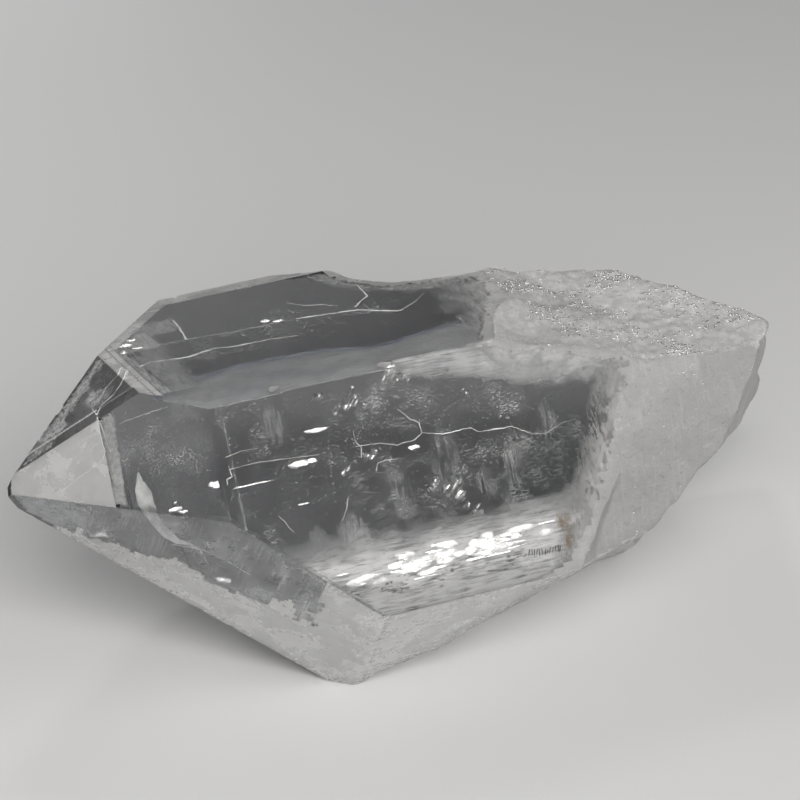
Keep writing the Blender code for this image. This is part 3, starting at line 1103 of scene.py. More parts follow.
def feathers():
    """Small curled fractures, bright where they catch the light."""
    rng = random.Random(SEED + 60)
    bm = bmesh.new()
    spots = [("m_front_upper", -7.7, 12.0, 2.2, 1.1), ("m_front_upper", -6.6, 11.4, 2.2, 1.2),
             ("m_front_upper", -5.7, 10.9, 2.4, 1.4), ("m_front_upper", -5.0, 9.6, 2.4, 1.3),
             ("m_front_upper", -4.3, 8.7, 2.4, 1.1), ("m_front_upper", -3.4, 7.9, 2.4, 1.1),
             ("m_front_upper", -2.8, 7.2, 2.4, 0.8), ("m_front_upper", -4.8, 11.2, 2.2, 0.9),
             ("m_front_upper", -19.9, 23.9, 3.6, 0.8), ("m_front_upper", -17.9, 22.6, 3.6, 1.0),
             ("m_front_upper", -16.6, 22.7, 3.8, 0.9), ("m_front_upper", -15.1, 23.2, 4.0, 1.3),
             ("m_front_upper", -14.8, 21.3, 4.0, 1.2), ("m_front_upper", -15.6, 24.1, 4.0, 1.0),
             ("m_front_upper", -13.6, 22.2, 4.2, 1.0), ("m_front_upper", -11.4, 25.4, 1.6, 1.2),
             ("m_front_upper", -10.2, 25.0, 1.8, 1.0), ("m_front_upper", -9.0, 24.6, 1.8, 0.8),
             ("m_front_upper", -16.3, 16.6, 1.4, 0.9), ("m_front_upper", -15.0, 16.7, 1.5, 0.8),
             ("m_front_upper", -13.6, 15.5, 1.6, 0.6), ("m_front_upper", -18.7, 14.9, 2.2, 0.8),
             ("m_front_upper", -1.5, 21.6, 2.6, 0.7), ("m_front_upper", 2.8, 17.6, 2.4, 0.5),
             ("z_front_upper", -13.0, 15.6, 2.0, 0.7), ("m_top", -34.6, 7.0, 1.4, 1.0),
             ("m_top", -36.0, 5.4, 1.2, 0.9), ("m_top", -36.2, 8.2, 1.2, 0.8)]
    for k, (face, a, b, depth, size) in enumerate(spots):
        for q in range(3):
            c = on_face(face, a + rng.uniform(-.45, .45), b + rng.uniform(-.45, .45),
                        depth + rng.uniform(-.4, .4))
            w = Vector((rng.gauss(0, 1), rng.gauss(0, 1), rng.gauss(0, 1))).normalized()
            if q < 2:
                w = (within(VIEW, NORMAL[face]) + within(KEY, NORMAL[face])).normalized() \
                    + w * (0.12 + 0.22 * q)
                w.normalize()
            u = w.orthogonal().normalized()
            v = w.cross(u)
            if inside(c, 0.9):
                film(bm, c, u, v, size * rng.uniform(0.35, 0.9), size * rng.uniform(0.20, 0.45),
                     n=8, m=6, bulge=0.5, wave=0.35 * size, thick=0.03, seed=k * 2.3 + q,
                     ragged=0.6, fade=0.5)
    return finish_bm("feather_fractures", bm)


def glints():
    """Flat gas-filled fractures that flash white."""
    rng = random.Random(SEED + 80)
    bm = bmesh.new()
    long = Vector((1.0, 0.0, 0.0))
    spots = [("m_front_upper", -23.8, 17.1, 3.0, 1.5, 0.45), ("m_front_upper", -22.4, 17.2, 3.0, 0.9, 0.35),
             ("m_front_upper", -21.0, 20.5, 3.0, 1.5, 0.35), ("m_front_upper", -9.6, 16.4, 2.2, 0.7, 0.35),
             ("m_front_upper", -30.5, 15.9, 1.6, 2.8, 0.12), ("m_front_upper", -24.5, 12.6, 2.6, 0.7, 0.12),
             ("z_front_upper", -7.9, 16.7, 1.2, 0.65, 0.55), ("z_front_upper", -13.2, 15.0, 1.6, 0.9, 0.35),
             ("z_front_upper", -12.3, 14.5, 1.6, 0.7, 0.3), ("r_front_lower", -38.0, 19.0, 1.6, 0.9, 0.5),
             ("r_front_lower", -23.1, 19.4, 1.6, 1.0, 0.6), ("r_front_lower", -30.7, 26.6, 1.4, 0.6, 0.4),
             ("r_front_lower", -38.9, 18.3, 1.5, 0.5, 0.3), ("m_top", -17.8, 6.0, 2.0, 0.8, 0.4),
             ("m_top", -16.4, 5.4, 2.0, 0.9, 0.4), ("m_top", -35.8, 5.6, 0.22, 1.0, 0.5),
             ("m_top", -34.7, 4.5, 0.22, 0.8, 0.35), ("m_top", -36.6, 4.0, 0.24, 0.5, 0.3),
             ("m_top", -34.6, 6.6, 0.22, 0.7, 0.3), ("m_front_upper", -11.0, 25.9, 0.8, 0.9, 0.45)]
    spots += [("m_front_upper", -2.6, 3.8, 0.8, 3.0, 0.42), ("m_front_upper", -0.6, 4.1, 0.7, 2.2, 0.36),
              ("m_front_upper", -13.4, 3.1, 0.8, 2.6, 0.34), ("m_front_upper", -4.6, 3.3, 0.9, 2.4, 0.34)]
    for centre, spread, count in ((-2.6, 2.6, 18), (-13.8, 2.8, 14), (-8.5, 7.0, 18)):
        for _ in range(count):
            a = min(7.0, max(-23.0, rng.gauss(centre, spread)))
            b = 3.3 + 0.05 * (a + 8.0) + 0.9 * smoothstep(-14.0, -23.0, a) + rng.gauss(0, 0.75)
            spots.append(("m_front_upper", a, b, rng.uniform(0.5, 1.4), rng.uniform(0.7, 2.4),
                          rng.uniform(0.07, 0.26)))
    for k, (face, a, b, depth, hu, hv) in enumerate(spots):
        n = NORMAL[face]
        c = on_face(face, a, b, depth)
        w = within(VIEW, n) + within(KEY, n)
        w = (w.normalized() + Vector([rng.uniform(-0.07, 0.07) for _ in range(3)])).normalized()
        u = (long - w * long.dot(w)).normalized()
        v = w.cross(u).normalized()
        film(bm, c, u, v, hu, hv, n=10, m=6, bulge=0.1, wave=0.10, thick=0.03, seed=k * 1.3,
             ragged=0.5, fade=0.95)
    return finish_bm("bright_fractures", bm)


def blaze():
    """Soft flashes that run together about the thin ones in the low band."""
    rng = random.Random(SEED + 90)
    bm = bmesh.new()
    long = Vector((1.0, 0.0, 0.0))
    n = NORMAL["m_front_upper"]
    for centre, spread, count in ((-2.4, 2.1, 20), (-13.2, 2.3, 15), (-8.0, 5.0, 12)):
        for k in range(count):
            a = min(4.5, max(-21.0, rng.gauss(centre, spread)))
            b = 3.5 + 0.05 * (a + 8.0) + rng.gauss(0, 0.55)
            w = within(VIEW, n) + within(KEY, n)
            w = (w.normalized() + Vector([rng.uniform(-0.03, 0.03) for _ in range(3)])).normalized()
            u = (long - w * long.dot(w)).normalized()
            film(bm, on_face("m_front_upper", a, b, rng.uniform(0.42, 0.60)), u,
                 w.cross(u).normalized(), rng.uniform(1.0, 1.7), rng.uniform(0.35, 0.75),
                 n=14, m=10, bulge=0.0, wave=0.0, thick=0.012, seed=40 + a, ragged=0.25,
                 power=1.7)
    return finish_bm("soft_blaze", bm)


def specks():
    """Tiny flakes and bubbles: misty in the point and along the upper edge."""
    rng = random.Random(SEED + 100)
    bm = bmesh.new()
    groups = [  # centre face, a, b, depth, spread along, across, deep, count, size
        ("z_front_upper", -15.0, 21.5, 2.2, 4.2, 4.6, 1.6, 620, 0.055),
        ("m_top", -33.0, -2.0, 1.8, 3.6, 3.4, 1.4, 330, 0.050),
        ("m_top", -20.0, 4.0, 3.0, 12.0, 6.0, 2.0, 260, 0.050),
        ("m_front_upper", -18.0, 17.0, 5.0, 14.0, 8.0, 4.0, 420, 0.060),
        ("m_front_upper", 4.0, 17.0, 5.0, 8.0, 6.0, 3.0, 300, 0.060),
        ("m_front_upper", -14.0, 19.5, 4.0, 3.0, 3.0, 1.6, 240, 0.065),
        ("r_front_lower", -28.0, 21.0, 2.0, 8.0, 4.0, 1.4, 380, 0.050),
        ("r_top", -16.0, 8.0, 2.0, 5.0, 6.0, 2.0, 160, 0.050),
        ("m_back_upper", -5.0, 15.0, 4.0, 14.0, 8.0, 3.0, 200, 0.060)]
    for face, a, b, depth, sa, sb, sd, count, size in groups:
        for _ in range(count):
            c = on_face(face, a + rng.gauss(0, sa * 0.6), b + rng.gauss(0, sb * 0.6),
                        max(0.5, depth + rng.gauss(0, sd * 0.6)))
            if not inside(c, 0.35):
                continue
            u = Vector((rng.gauss(0, 1), rng.gauss(0, 1), rng.gauss(0, 1))).normalized()
            v = u.orthogonal().normalized()
            s = size * rng.uniform(0.5, 1.9)
            flake(bm, c, u, v, s, s * 0.3)
    return finish_bm("sealed_flakes", bm)


def sparkles():
    """Tiny flat crystal facets standing on the sugary break."""
    rng = random.Random(SEED + 160)
    bm = bmesh.new()
    body_bvh = BVHTree.FromObject(body, bpy.context.evaluated_depsgraph_get())
    made = 0
    for _ in range(9000):
        x, y = rng.uniform(9.0, 50.0), rng.uniform(-14.0, 12.0)
        band = noise.noise(Vector((x * 0.16, y * 0.30, 2.0))) + 0.35 * noise.noise(Vector((x, y, 0)))
        if band < rng.uniform(-0.10, 0.45):
            continue
        start = (Vector((x, y, 60.0)) + SHIFT) * MM
        at, normal, index, dist = body_bvh.ray_cast(start, Vector((0.0, 0.0, -1.0)))
        if at is None or body.data.polygons[index].material_index != SUGAR:
            continue
        p = at / MM - SHIFT - normal * 0.02
        w = (EYE_AT - at / MM).normalized() + (KEY_AT - at / MM).normalized()
        w = (w.normalized() + Vector([rng.gauss(0, 0.08) for _ in range(3)])).normalized()
        u = w.orthogonal().normalized()
        size = rng.uniform(0.07, 0.20)
        flake(bm, p, u, w.cross(u), size, size * 0.13)
        made += 1
    for poly in body.data.polygons:            # a few on the frosted end as well
        if poly.material_index != FROST or poly.area < 1e-9:
            continue
        p = Vector(poly.center) / MM
        if poly.normal.dot((EYE_AT - p).normalized()) < 0.15 or \
                noise.noise(p * 0.22) + 0.2 * rng.random() < 0.12 or rng.random() > 0.022:
            continue
        w = (EYE_AT - p).normalized() + (KEY_AT - p).normalized()
        w = (w.normalized() + Vector([rng.gauss(0, 0.07) for _ in range(3)])).normalized()
        u = w.orthogonal().normalized()
        size = rng.uniform(0.06, 0.16)
        flake(bm, p - SHIFT - poly.normal * 0.02, u, w.cross(u), size, size * 0.13)
        made += 1
    print("sparkles", made)
    return finish_bm("sugar_facets", bm)


def stain():
    """Rust-brown films just under the lower front surface."""
    bm = bmesh.new()
    fu = "m_front_upper"
    n = NORMAL[fu]
    u = Vector((1, 0, 0))
    v = n.cross(u).normalized()
    for k, (a, b, hu, hv) in enumerate([(7.4, 3.4, 0.9, 1.8), (6.6, 4.4, 0.6, 1.0), (7.0, 1.9, 0.5, 0.8)]):
        film(bm, on_face(fu, a, b, 0.14), u, v, hu, hv, bulge=0.02, wave=0.08, thick=0.02,
             seed=60 + k, ragged=0.8)
    return finish_bm("rust_film", bm)


def dashes():
    rng = random.Random(SEED + 140)
    bm = bmesh.new()
    fu = "m_front_upper"
    n = NORMAL[fu]
    for k in range(13):
        t = k / 12.0
        a, b = 1.6 + 4.2 * t, 1.6 - 0.3 * t
        lean = Vector((0.25 + rng.uniform(-.2, .3), 0.3, 0.9))
        lean = (lean - n * lean.dot(n)).normalized()
        side = n.cross(lean).normalized()
        c = on_face(fu, a + rng.uniform(-.1, .1), b + rng.uniform(-.15, .15), 0.13)
        film(bm, c, lean, side, rng.uniform(0.35, 0.6), 0.085, n=5, m=3, bulge=0.0,
             wave=0.03, thick=0.02, seed=90 + k, ragged=0.3)
    return finish_bm("dark_dashes", bm)


def clear_of(p, own, margin):
    """True if p is inside the crystal, its own face not counted."""
    for k in NAMES:
        if k != own and p.dot(NORMAL[k]) > REACH[k] - margin:
            return False
    rise = swell(p) - margin - 0.35
    for k, m, q in BREAKS[:6]:
        if (p - q).dot(m) > rise:
            return False
    for a, b in ((6, 7), (8, 9)):
        if (p - BREAKS[a][2]).dot(BREAKS[a][1]) > rise and \
                (p - BREAKS[b][2]).dot(BREAKS[b][1]) > rise:
            return False
    c, r = BACK_SCOOP
    q = Vector(((p.x - c[0]) / (r[0] + margin), (p.y - c[1]) / (r[1] + margin),
                (p.z - c[2]) / (r[2] + margin)))
    return q.length > 1.06


def mist(name, face, a0, a1, b0, b1, depth, density, cell=0.5, margin=0.3, wave=0.0):
    """A film of tiny flaws just under a face. density(a, b, p) is 0 to 1, kept
    on the mesh for the material."""
    na, nb = int((a1 - a0) / cell), int((b1 - b0) / cell)
    where, thick = {}, {}
    for i in range(na + 1):
        for j in range(nb + 1):
            a, b = a0 + i * cell, b0 + j * cell
            sway = wave * noise.noise(Vector((a * 0.16, b * 0.22, 7.0)))
            p = on_face(face, a, b, depth + sway)
            d = density(a, b, p)
            if d > 0.01 and clear_of(p, face, margin):
                where[i, j] = p
                thick[i, j] = d
    cells = {(i, j) for i in range(na) for j in range(nb)
             if all(k in where for k in ((i, j), (i + 1, j), (i, j + 1), (i + 1, j + 1)))}
    while True:                            # no two cells may touch at one corner only
        extra = set()
        for i, j in cells:
            for di in (-1, 1):
                for dj in (-1, 1):
                    if (i + di, j + dj) in cells and (i + di, j) not in cells \
                            and (i, j + dj) not in cells:
                        extra.add((i, j))
        if not extra:
            break
        cells -= extra
    bm = bmesh.new()
    layer = bm.verts.layers.float.new("haze")
    n = NORMAL[face]
    made = {}

    def vert(i, j, side):
        key = (i, j, side)
        if key not in made:
            v = bm.verts.new(where[i, j] + n * (0.012 * side))
            v[layer] = thick[i, j]
            made[key] = v
        return made[key]

    for i, j in cells:
        ring = [(i, j), (i + 1, j), (i + 1, j + 1), (i, j + 1)]
        bm.faces.new([vert(x, y, 1) for x, y in ring])
        bm.faces.new([vert(x, y, -1) for x, y in reversed(ring)])
        for k, (di, dj) in enumerate(((0, -1), (1, 0), (0, 1), (-1, 0))):
            if (i + di, j + dj) not in cells:
                p, q = ring[k], ring[(k + 1) % 4]
                bm.faces.new((vert(*p, 1), vert(*p, -1), vert(*q, -1), vert(*q, 1)))
    return finish_bm(name, bm)


def mist_material(name, colour, scale, lo, hi, edges, stretch=None, rough=0.6,
                  distortion=0.0, tint=None):
    mat, nt, p = principled(name)
    p.inputs["Base Color"].default_value = colour
    p.inputs["Roughness"].default_value = rough
    p.inputs["IOR"].default_value = 1.3
    at = place(nt)
    a = texture(nt, at, scale, 3.5, 0.7, stretch=stretch, distortion=distortion)
    b = texture(nt, at, 0.35, 1.0, 0.6)
    both = math(nt, "ADD", math(nt, "MULTIPLY", a, 0.7), math(nt, "MULTIPLY", b, 0.3))
    d = node(nt, "ShaderNodeAttribute", attribute_name="haze")
    nt.links.new(math(nt, "MULTIPLY", remap(nt, both, edges[0], edges[1], lo, hi),
                      d.outputs["Fac"], clamp=True), p.inputs["Alpha"])
    # tint colours the thin rim of the film: the bluish edge of the painted reflection band
    if tint:
        nt.links.new(mix_colour(nt, remap(nt, d.outputs["Fac"], 0.05, 0.6), tint, colour),
                     p.inputs["Base Color"])
    return mat


def ramp(lo, hi, x):
    return smoothstep(lo, hi, x)


def end_dashes(a, b, p):
    d = a - (5.0 + 0.5 * b) + 0.5 * noise.noise(p * 0.6)
    return 0.95 * ramp(-1.2, 4.4, d) * ramp(12.0, 9.0, d)


def low_frost(a, b, p):
    """The lower front prism face: milky, streaked."""
    return 0.62 * ramp(-2.0, 6.0, a + 22.0) * (0.8 + 0.5 * noise.noise(p * 0.25))


def point_haze(a, b, p):
    """The end of the point, beyond the fine step on the face."""
    d = -19.7 - a + 0.12 * noise.noise(p * 1.5)
    strip = 0.60 * ramp(0.12, -0.12, d) * ramp(-1.9, -1.5, d + 0.05 * (b - 20.0))
    return max((0.34 + 0.22 * noise.noise(p * 0.45)) * ramp(0.0, 0.25, d), strip)


def r_haze(a, b, p):
    """The long low face of the point: hazy towards its lower right end."""
    n = noise.noise(p * 0.22)
    line = 18.6 + 0.33 * (a + 25.6) + 1.6 * n + 0.8 * noise.noise(p * 0.7)
    low = ramp(1.2, -2.6, b - line) * ramp(-38.0, -27.0, a)
    patch = ramp(-12.9, -11.6, a + 0.3 * n) * ramp(22.4, 23.6, b + 0.25 * (a + 12.0) + 0.6 * n)
    near_tip = ramp(-36.0, -42.0, a)
    return max(0.15 + 0.55 * low + 0.34 * near_tip + 0.16 * n, 0.0) + 0.9 * patch


def scoop_rim(a, b, p):
    """Bruised rim of the shell-shaped chip in the upper back edge."""
    c, r = BACK_SCOOP
    q = Vector(((p.x - c[0]) / r[0], (p.y - c[1]) / r[1], (p.z - c[2]) / r[2])).length
    return 0.7 * ramp(1.30, 1.12, q + 0.06 * noise.noise(p * 0.9))


def r_patches(a, b, p):
    """Worn white patches on the upper face of the point."""
    edge = REACH["z_back_upper"] - p.dot(NORMAL["z_back_upper"])
    spots = ramp(0.02, 0.30, noise.noise(p * 0.42 + Vector((4.0, 1.0, 0.0)))
                 + 0.45 * ramp(3.2, 0.6, edge)) * ramp(-7.0, -10.0, a)
    return max(spots, 0.85 * ramp(1.7, 0.9, edge + 0.5 * noise.noise(p * 0.8)))


def painted_reflection_band(a, b, p):
    """A grey band inside the front edge of the top face, fuzzy and bluish at its top: painted reflection, standing in
    for a band of reflected light.
    """
    edge = -5.2 + 1.1 * ramp(-8.0, -18.0, a) * ramp(-34.0, -26.0, a) - 0.9 * ramp(-17.0, -9.0, a) \
        + 1.4 * ramp(-8.0, 0.0, a) + 0.35 * noise.noise(Vector((a * 0.25, 0, 0)))
    return (0.62 + 0.26 * ramp(-22.0, 6.0, a)) * ramp(0.7, -1.5, b - edge) * ramp(-38.0, -35.5, a) \
        * (0.9 + 0.25 * noise.noise(Vector((a * 0.2, b * 0.5, 3.0))))


def soft_spot(a, b, ca, cb, ra, rb):
    q = sqrt(((a - ca) / ra) ** 2 + ((b - cb) / rb) ** 2)
    return ramp(1.15, 0.45, q)


STRIPES = [(2.2, 12.4, 1.5, 3.4, 0.42), (-6.2, 13.6, 2.2, 4.4, 0.30), (-19.6, 7.6, 2.2, 3.2, 0.40),
           (-12.6, 11.4, 1.8, 3.6, 0.26), (7.9, 16.6, 1.3, 2.6, 0.26), (-26.5, 22.0, 1.6, 3.0, 0.22),
           (-1.6, 10.6, 1.6, 2.4, 0.20), (-24.0, 8.6, 1.4, 1.8, 0.20)]


def stripe_veil(a, b, p):
    return min(1.0, sum(k * soft_spot(a, b, ca, cb, ra, rb) for ca, cb, ra, rb, k in STRIPES))


def inner_veil(a, b, p):
    """Clouds of tiny flaws in the middle of the crystal."""
    d = 0.10 + 0.10 * noise.noise(p * 0.18)
    d += 0.50 * soft_spot(a, b, -12.3, 21.6, 5.4, 3.4)
    d += 0.26 * soft_spot(a, b, -1.0, 20.4, 10.0, 3.4)
    d += 0.20 * soft_spot(a, b, 3.5, 11.5, 7.5, 5.0)
    d += 0.30 * soft_spot(a, b, -11.5, 8.2, 9.0, 2.4)
    d += 0.24 * soft_spot(a, b, -15.5, 13.5, 4.5, 4.0)
    d += 0.14 * soft_spot(a, b, -26.0, 19.0, 6.0, 3.0)
    return max(0.0, min(1.0, d * ramp(-34.0, -31.0, a) * (0.8 + 0.8 * noise.noise(p * 0.4))))


def painted_highlight_veil(a, b, p):
    """A white veil along the lower edge of the upper front face; its bright strip is a painted highlight standing in
    for a band of reflected light.
    """
    n = noise.noise(p * 0.35)
    low = 1.4 + 1.9 * ramp(-14.0, -22.0, a) - 1.2 * ramp(-2.0, 6.0, a)
    fine = noise.noise(Vector((a * 0.35, b * 1.6, 3.0)))
    grey = 0.46 * ramp(8.8, 5.4, b + 1.0 * n + 0.5 * fine)
    # painted highlight: the densest strip lies along the band of reflected light
    bright = 0.52 * ramp(6.0, 4.5, b + 0.7 * n + 0.4 * fine) * ramp(low - 1.3, low + 0.6, b + 0.4 * fine)
    foot = 0.16 * ramp(2.0, 0.0, b)
    return (grey + bright + foot) * ramp(-32.0, -29.0, a)


def upper_veil(a, b, p):
    """A pale cloud along the upper edge, towards the broken end."""
    low = 26.2 - 1.9 * ramp(-13.0, -5.0, a) - 2.6 * ramp(-5.0, 8.0, a) + 1.6 * ramp(10.0, 15.0, a) \
        + 0.6 * noise.noise(Vector((a * 0.3, 4.0, 0.0)))
    fine = noise.noise(Vector((a * 0.30, b * 1.5, 9.0)))
    return 0.92 * ramp(-1.3, 1.5, b - low + 0.5 * fine) * ramp(-15.5, -7.0, a + 2.0 * fine)


def low_streaks(a, b, p):
    """Dark frayed flaws along the lower edge of the bright band."""
    low = 1.2 + 1.7 * ramp(-14.0, -22.0, a) - 0.6 * ramp(-2.0, 6.0, a)
    q = (b - low) / 1.1
    return exp(-q * q) + 0.35 * ramp(8.5, 6.0, b) * ramp(4.0, 6.0, b)


def dust(a, b, p):
    """Specks and short scratches just under the front face."""
    d = 0.35 + 0.5 * noise.noise(p * 0.20 + Vector((2.0, 5.0, 1.0)))
    d += 0.45 * soft_spot(a, b, -12.0, 21.0, 7.0, 4.0) + 0.35 * soft_spot(a, b, 3.0, 18.0, 9.0, 6.0)
    d -= 0.35 * soft_spot(a, b, -24.0, 10.0, 6.0, 5.0)
    return max(0.0, min(1.0, d)) * ramp(-34.2, -33.0, a) * ramp(6.0, 8.5, b)


def rim_fade(a, b, p):
    """The whitening that spreads from the sugary hollow into the clear faces."""
    g = rim_gap(p) + 0.9 * noise.noise(p * 0.5) + 0.4 * noise.noise(p * 1.6)
    return 0.95 * ramp(3.6, 0.3, g) * ramp(-3.0, 6.0, p.x)


def corner_haze(a, b, p):
    """Light patches by the growth steps at the corner of the top face."""
    near = REACH["r_top"] - p.dot(NORMAL["r_top"])
    strip = 0.85 * ramp(2.6, 2.2, near + 0.05 * (b + 4.0))
    wide = 0.34 * ramp(5.6, 3.6, near + 0.3 * noise.noise(p * 0.8))
    patch = 0.72 * ramp(5.0, 4.8, near) * ramp(3.6, 3.9, b) * ramp(8.2, 7.9, b)
    other = 0.42 * ramp(7.6, 7.4, near) * ramp(6.6, 6.9, b) * ramp(10.4, 10.1, b)
    return min(1.0, max(strip, wide, patch, other)) * ramp(-7.6, -7.0, b)


def r_lines(a, b, p):
    """Fine striations across the long low face of the point."""
    d = 0.22 + 0.75 * soft_spot(a, b, -11.6, 20.0, 3.4, 7.0) + 0.5 * soft_spot(a, b, -17.6, 25.0, 1.2, 3.6)
    d += 0.45 * soft_spot(a, b, -26.0, 25.0, 1.2, 2.6) + 0.30 * soft_spot(a, b, -21.5, 24.0, 1.4, 2.4)
    return d


def point_veil(a, b, p):
    d = 0.22 + 0.50 * soft_spot(a, b, -15.6, 22.8, 5.6, 4.6) + 0.30 * soft_spot(a, b, -11.5, 20.6, 6.5, 4.6)
    return max(0.0, min(1.0, d * ramp(-19.9, -19.2, a) * (0.8 + 0.9 * noise.noise(p * 0.4))))


def back_veil(a, b, p):
    """Streaky haze under the upper back face."""
    return max(0.0, min(1.0, 0.45 + 0.7 * noise.noise(p * 0.16 + Vector((3.0, 0.0, 8.0)))))


def back_point_veil(a, b, p):
    return max(0.0, min(1.0, 0.35 + 0.8 * noise.noise(p * 0.2 + Vector((1.0, 6.0, 2.0)))))


def top_veil(a, b, p):
    d = 0.07 + 0.42 * soft_spot(a, b, -27.4, 1.0, 1.6, 5.0) + 0.28 * soft_spot(a, b, -17.0, 3.0, 8.0, 4.6)
    d += 0.22 * soft_spot(a, b, -5.0, 3.0, 6.0, 3.6) + 0.30 * soft_spot(a, b, -35.0, 5.8, 2.6, 2.4)
    return max(0.0, min(1.0, d * (0.8 + 0.9 * noise.noise(p * 0.4))))


# --------------------------------------------------------------- build pieces
body = shell()
kept(body, clear_material(), satin_material(), milky_material(), frost_material(),
     sugar_material(), frost_material("quartz_back_break", 0.6, 0.30, 0.90))
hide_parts("quartz_crystal")

white = (0.95, 0.95, 0.945, 1.0)
sheets, lips = cracks()
kept(sheets, sealed_material("healed_crack", white, 0.4, 0.0, 0.22, 1.4, edges=(0.46, 0.66)))
kept(lips, sealed_material("crack_lip", white, 0.4, 0.55, 1.0, 1.6, edges=(0.36, 0.5)))
grey = (0.90, 0.90, 0.895, 1.0)
kept(mist("etched_end", "m_front_upper", 4.0, 34.0, -2.0, 24.0, 0.16, end_dashes, margin=0.0),
     mist_material("etched_dashes", (0.70, 0.69, 0.68, 1.0), 1.2, 1.0, 0.10, (0.47, 0.58),
                   stretch=(2.2, 0.75, 0.75), distortion=0.4))
kept(mist("milky_low_face", "m_front_lower", -24.0, 40.0, 0.0, 32.0, 0.2, low_frost),
     mist_material("low_frost", grey, 1.2, 0.25, 1.0, (0.36, 0.62), stretch=(0.35, 1.6, 1.6),
                   distortion=0.6))
kept(mist("point_haze", "z_front_upper", -32.0, -17.0, 12.0, 27.6, 0.2, point_haze, cell=0.3),
     mist_material("point_haze", grey, 2.2, 0.55, 1.0, (0.38, 0.62)))
kept(mist("long_face_haze", "r_front_lower", -52.0, -2.0, 0.0, 34.0, 0.7, r_haze),
     mist_material("long_face_haze", (0.90, 0.92, 0.935, 1.0), 1.1, 0.35, 1.0, (0.36, 0.62),
                   stretch=(0.5, 1.5, 1.5), distortion=0.4))
kept(mist("long_face_lines", "r_front_lower", -44.0, -3.0, 4.0, 31.0, 0.35, r_lines, cell=0.4),
     mist_material("long_face_lines", (0.95, 0.955, 0.96, 1.0), 1.0, 0.0, 0.85, (0.50, 0.60),
                   stretch=(5.4, 0.20, 0.20)))
kept(mist("scoop_rim", "m_top", -14.0, 22.0, 2.0, 18.0, 0.3, scoop_rim, cell=0.35, margin=0.12),
     mist_material("scoop_rim", grey, 2.0, 0.3, 1.0, (0.38, 0.56)))
kept(mist("point_patches", "r_top", -24.0, -6.0, -12.0, 16.0, 0.3, r_patches, cell=0.3),
     mist_material("point_patches", grey, 1.8, 0.2, 1.0, (0.42, 0.58)))
# painted reflection: a grey film with a bluish tint where it thins, laid where reflected light forms a band
kept(mist("top_painted_reflection_film", "m_top", -39.0, 14.0, -14.0, -2.5, 0.9, painted_reflection_band, cell=0.4),
     mist_material("painted_reflection_film", (0.74, 0.745, 0.75, 1.0), 1.2, 0.8, 1.0, (0.36, 0.6),
                   stretch=(0.5, 2.0, 2.0), tint=(0.66, 0.76, 0.96, 1.0)))
kept(mist("corner_haze", "m_top", -40.0, -28.0, -9.0, 12.0, 0.34, corner_haze, cell=0.3,
          margin=0.25),
     mist_material("corner_haze", (0.93, 0.93, 0.93, 1.0), 1.4, 0.45, 1.0, (0.36, 0.6),
                   stretch=(2.0, 0.5, 0.5)))
kept(mist("top_rim_fade", "m_top", -6.0, 24.0, -14.0, 14.0, 0.16, rim_fade, cell=0.35,
          margin=-0.2),
     mist_material("rim_fade", grey, 1.2, 0.25, 1.0, (0.38, 0.58), stretch=(2.2, 0.6, 0.6)))
kept(mist("front_rim_fade", "m_front_upper", -2.0, 30.0, 14.0, 30.0, 0.16, rim_fade, cell=0.35,
          margin=-0.2),
     mist_material("front_rim_fade", grey, 1.2, 0.55, 1.0, (0.38, 0.58), stretch=(0.6, 1.6, 1.6)))
kept(mist("surface_dust", "m_front_upper", -34.0, 12.0, 5.0, 27.0, 0.30, dust, margin=0.3),
     mist_material("surface_dust", white, 3.6, 0.0, 0.80, (0.54, 0.66), stretch=(0.7, 2.0, 2.0)))
kept(mist("inner_veil", "m_front_upper", -34.0, 16.0, -1.0, 25.5, 1.6, inner_veil, margin=0.8,
          wave=0.8),
     mist_material("inner_veil", grey, 1.9, 0.0, 0.85, (0.48, 0.68), stretch=(0.5, 2.6, 2.6)))
kept(mist("stripe_veil", "m_front_upper", -30.0, 12.0, 2.0, 25.0, 1.0, stripe_veil, margin=0.8,
          wave=0.5),
     mist_material("stripe_veil", grey, 1.0, 0.05, 1.0, (0.42, 0.62), stretch=(4.8, 0.26, 0.26)))
# a near-white film, densest in the low band: a real veil with a painted highlight on it
kept(mist("painted_highlight_veil", "m_front_upper", -31.0, 22.0, -3.0, 11.0, 0.9, painted_highlight_veil, cell=0.35,
          margin=0.12, wave=0.3),
     mist_material("painted_highlight_veil", (0.99, 0.985, 0.98, 1.0), 1.1, 0.30, 1.15, (0.34, 0.56),
                   stretch=(0.22, 2.4, 2.4), rough=0.4, distortion=0.3))
kept(mist("low_streaks", "m_front_upper", -26.0, 12.0, -2.0, 9.0, 0.45, low_streaks, cell=0.4,
          margin=0.2),
     mist_material("low_streaks", (0.20, 0.195, 0.19, 1.0), 1.5, 0.0, 0.75, (0.54, 0.66),
                   stretch=(0.40, 1.7, 1.7), distortion=0.8))
kept(mist("upper_veil", "m_front_upper", -15.0, 24.0, 17.0, 30.0, 0.5, upper_veil, cell=0.4,
          margin=0.15),
     mist_material("upper_veil", grey, 1.0, 0.30, 1.0, (0.36, 0.54), stretch=(0.18, 3.2, 3.2),
                   distortion=0.3))
kept(mist("point_veil", "z_front_upper", -18.6, -5.0, 12.0, 27.0, 0.5, point_veil, cell=0.4,
          margin=0.4, wave=0.2),
     mist_material("point_veil", white, 3.0, 0.0, 0.75, (0.50, 0.66), stretch=(0.35, 2.6, 2.6)))
kept(mist("top_veil", "m_top", -40.0, 8.0, -9.0, 12.0, 0.9, top_veil, margin=0.8, wave=0.5),
     mist_material("top_veil", white, 2.8, 0.0, 0.9, (0.49, 0.62), stretch=(0.8, 1.3, 1.3)))
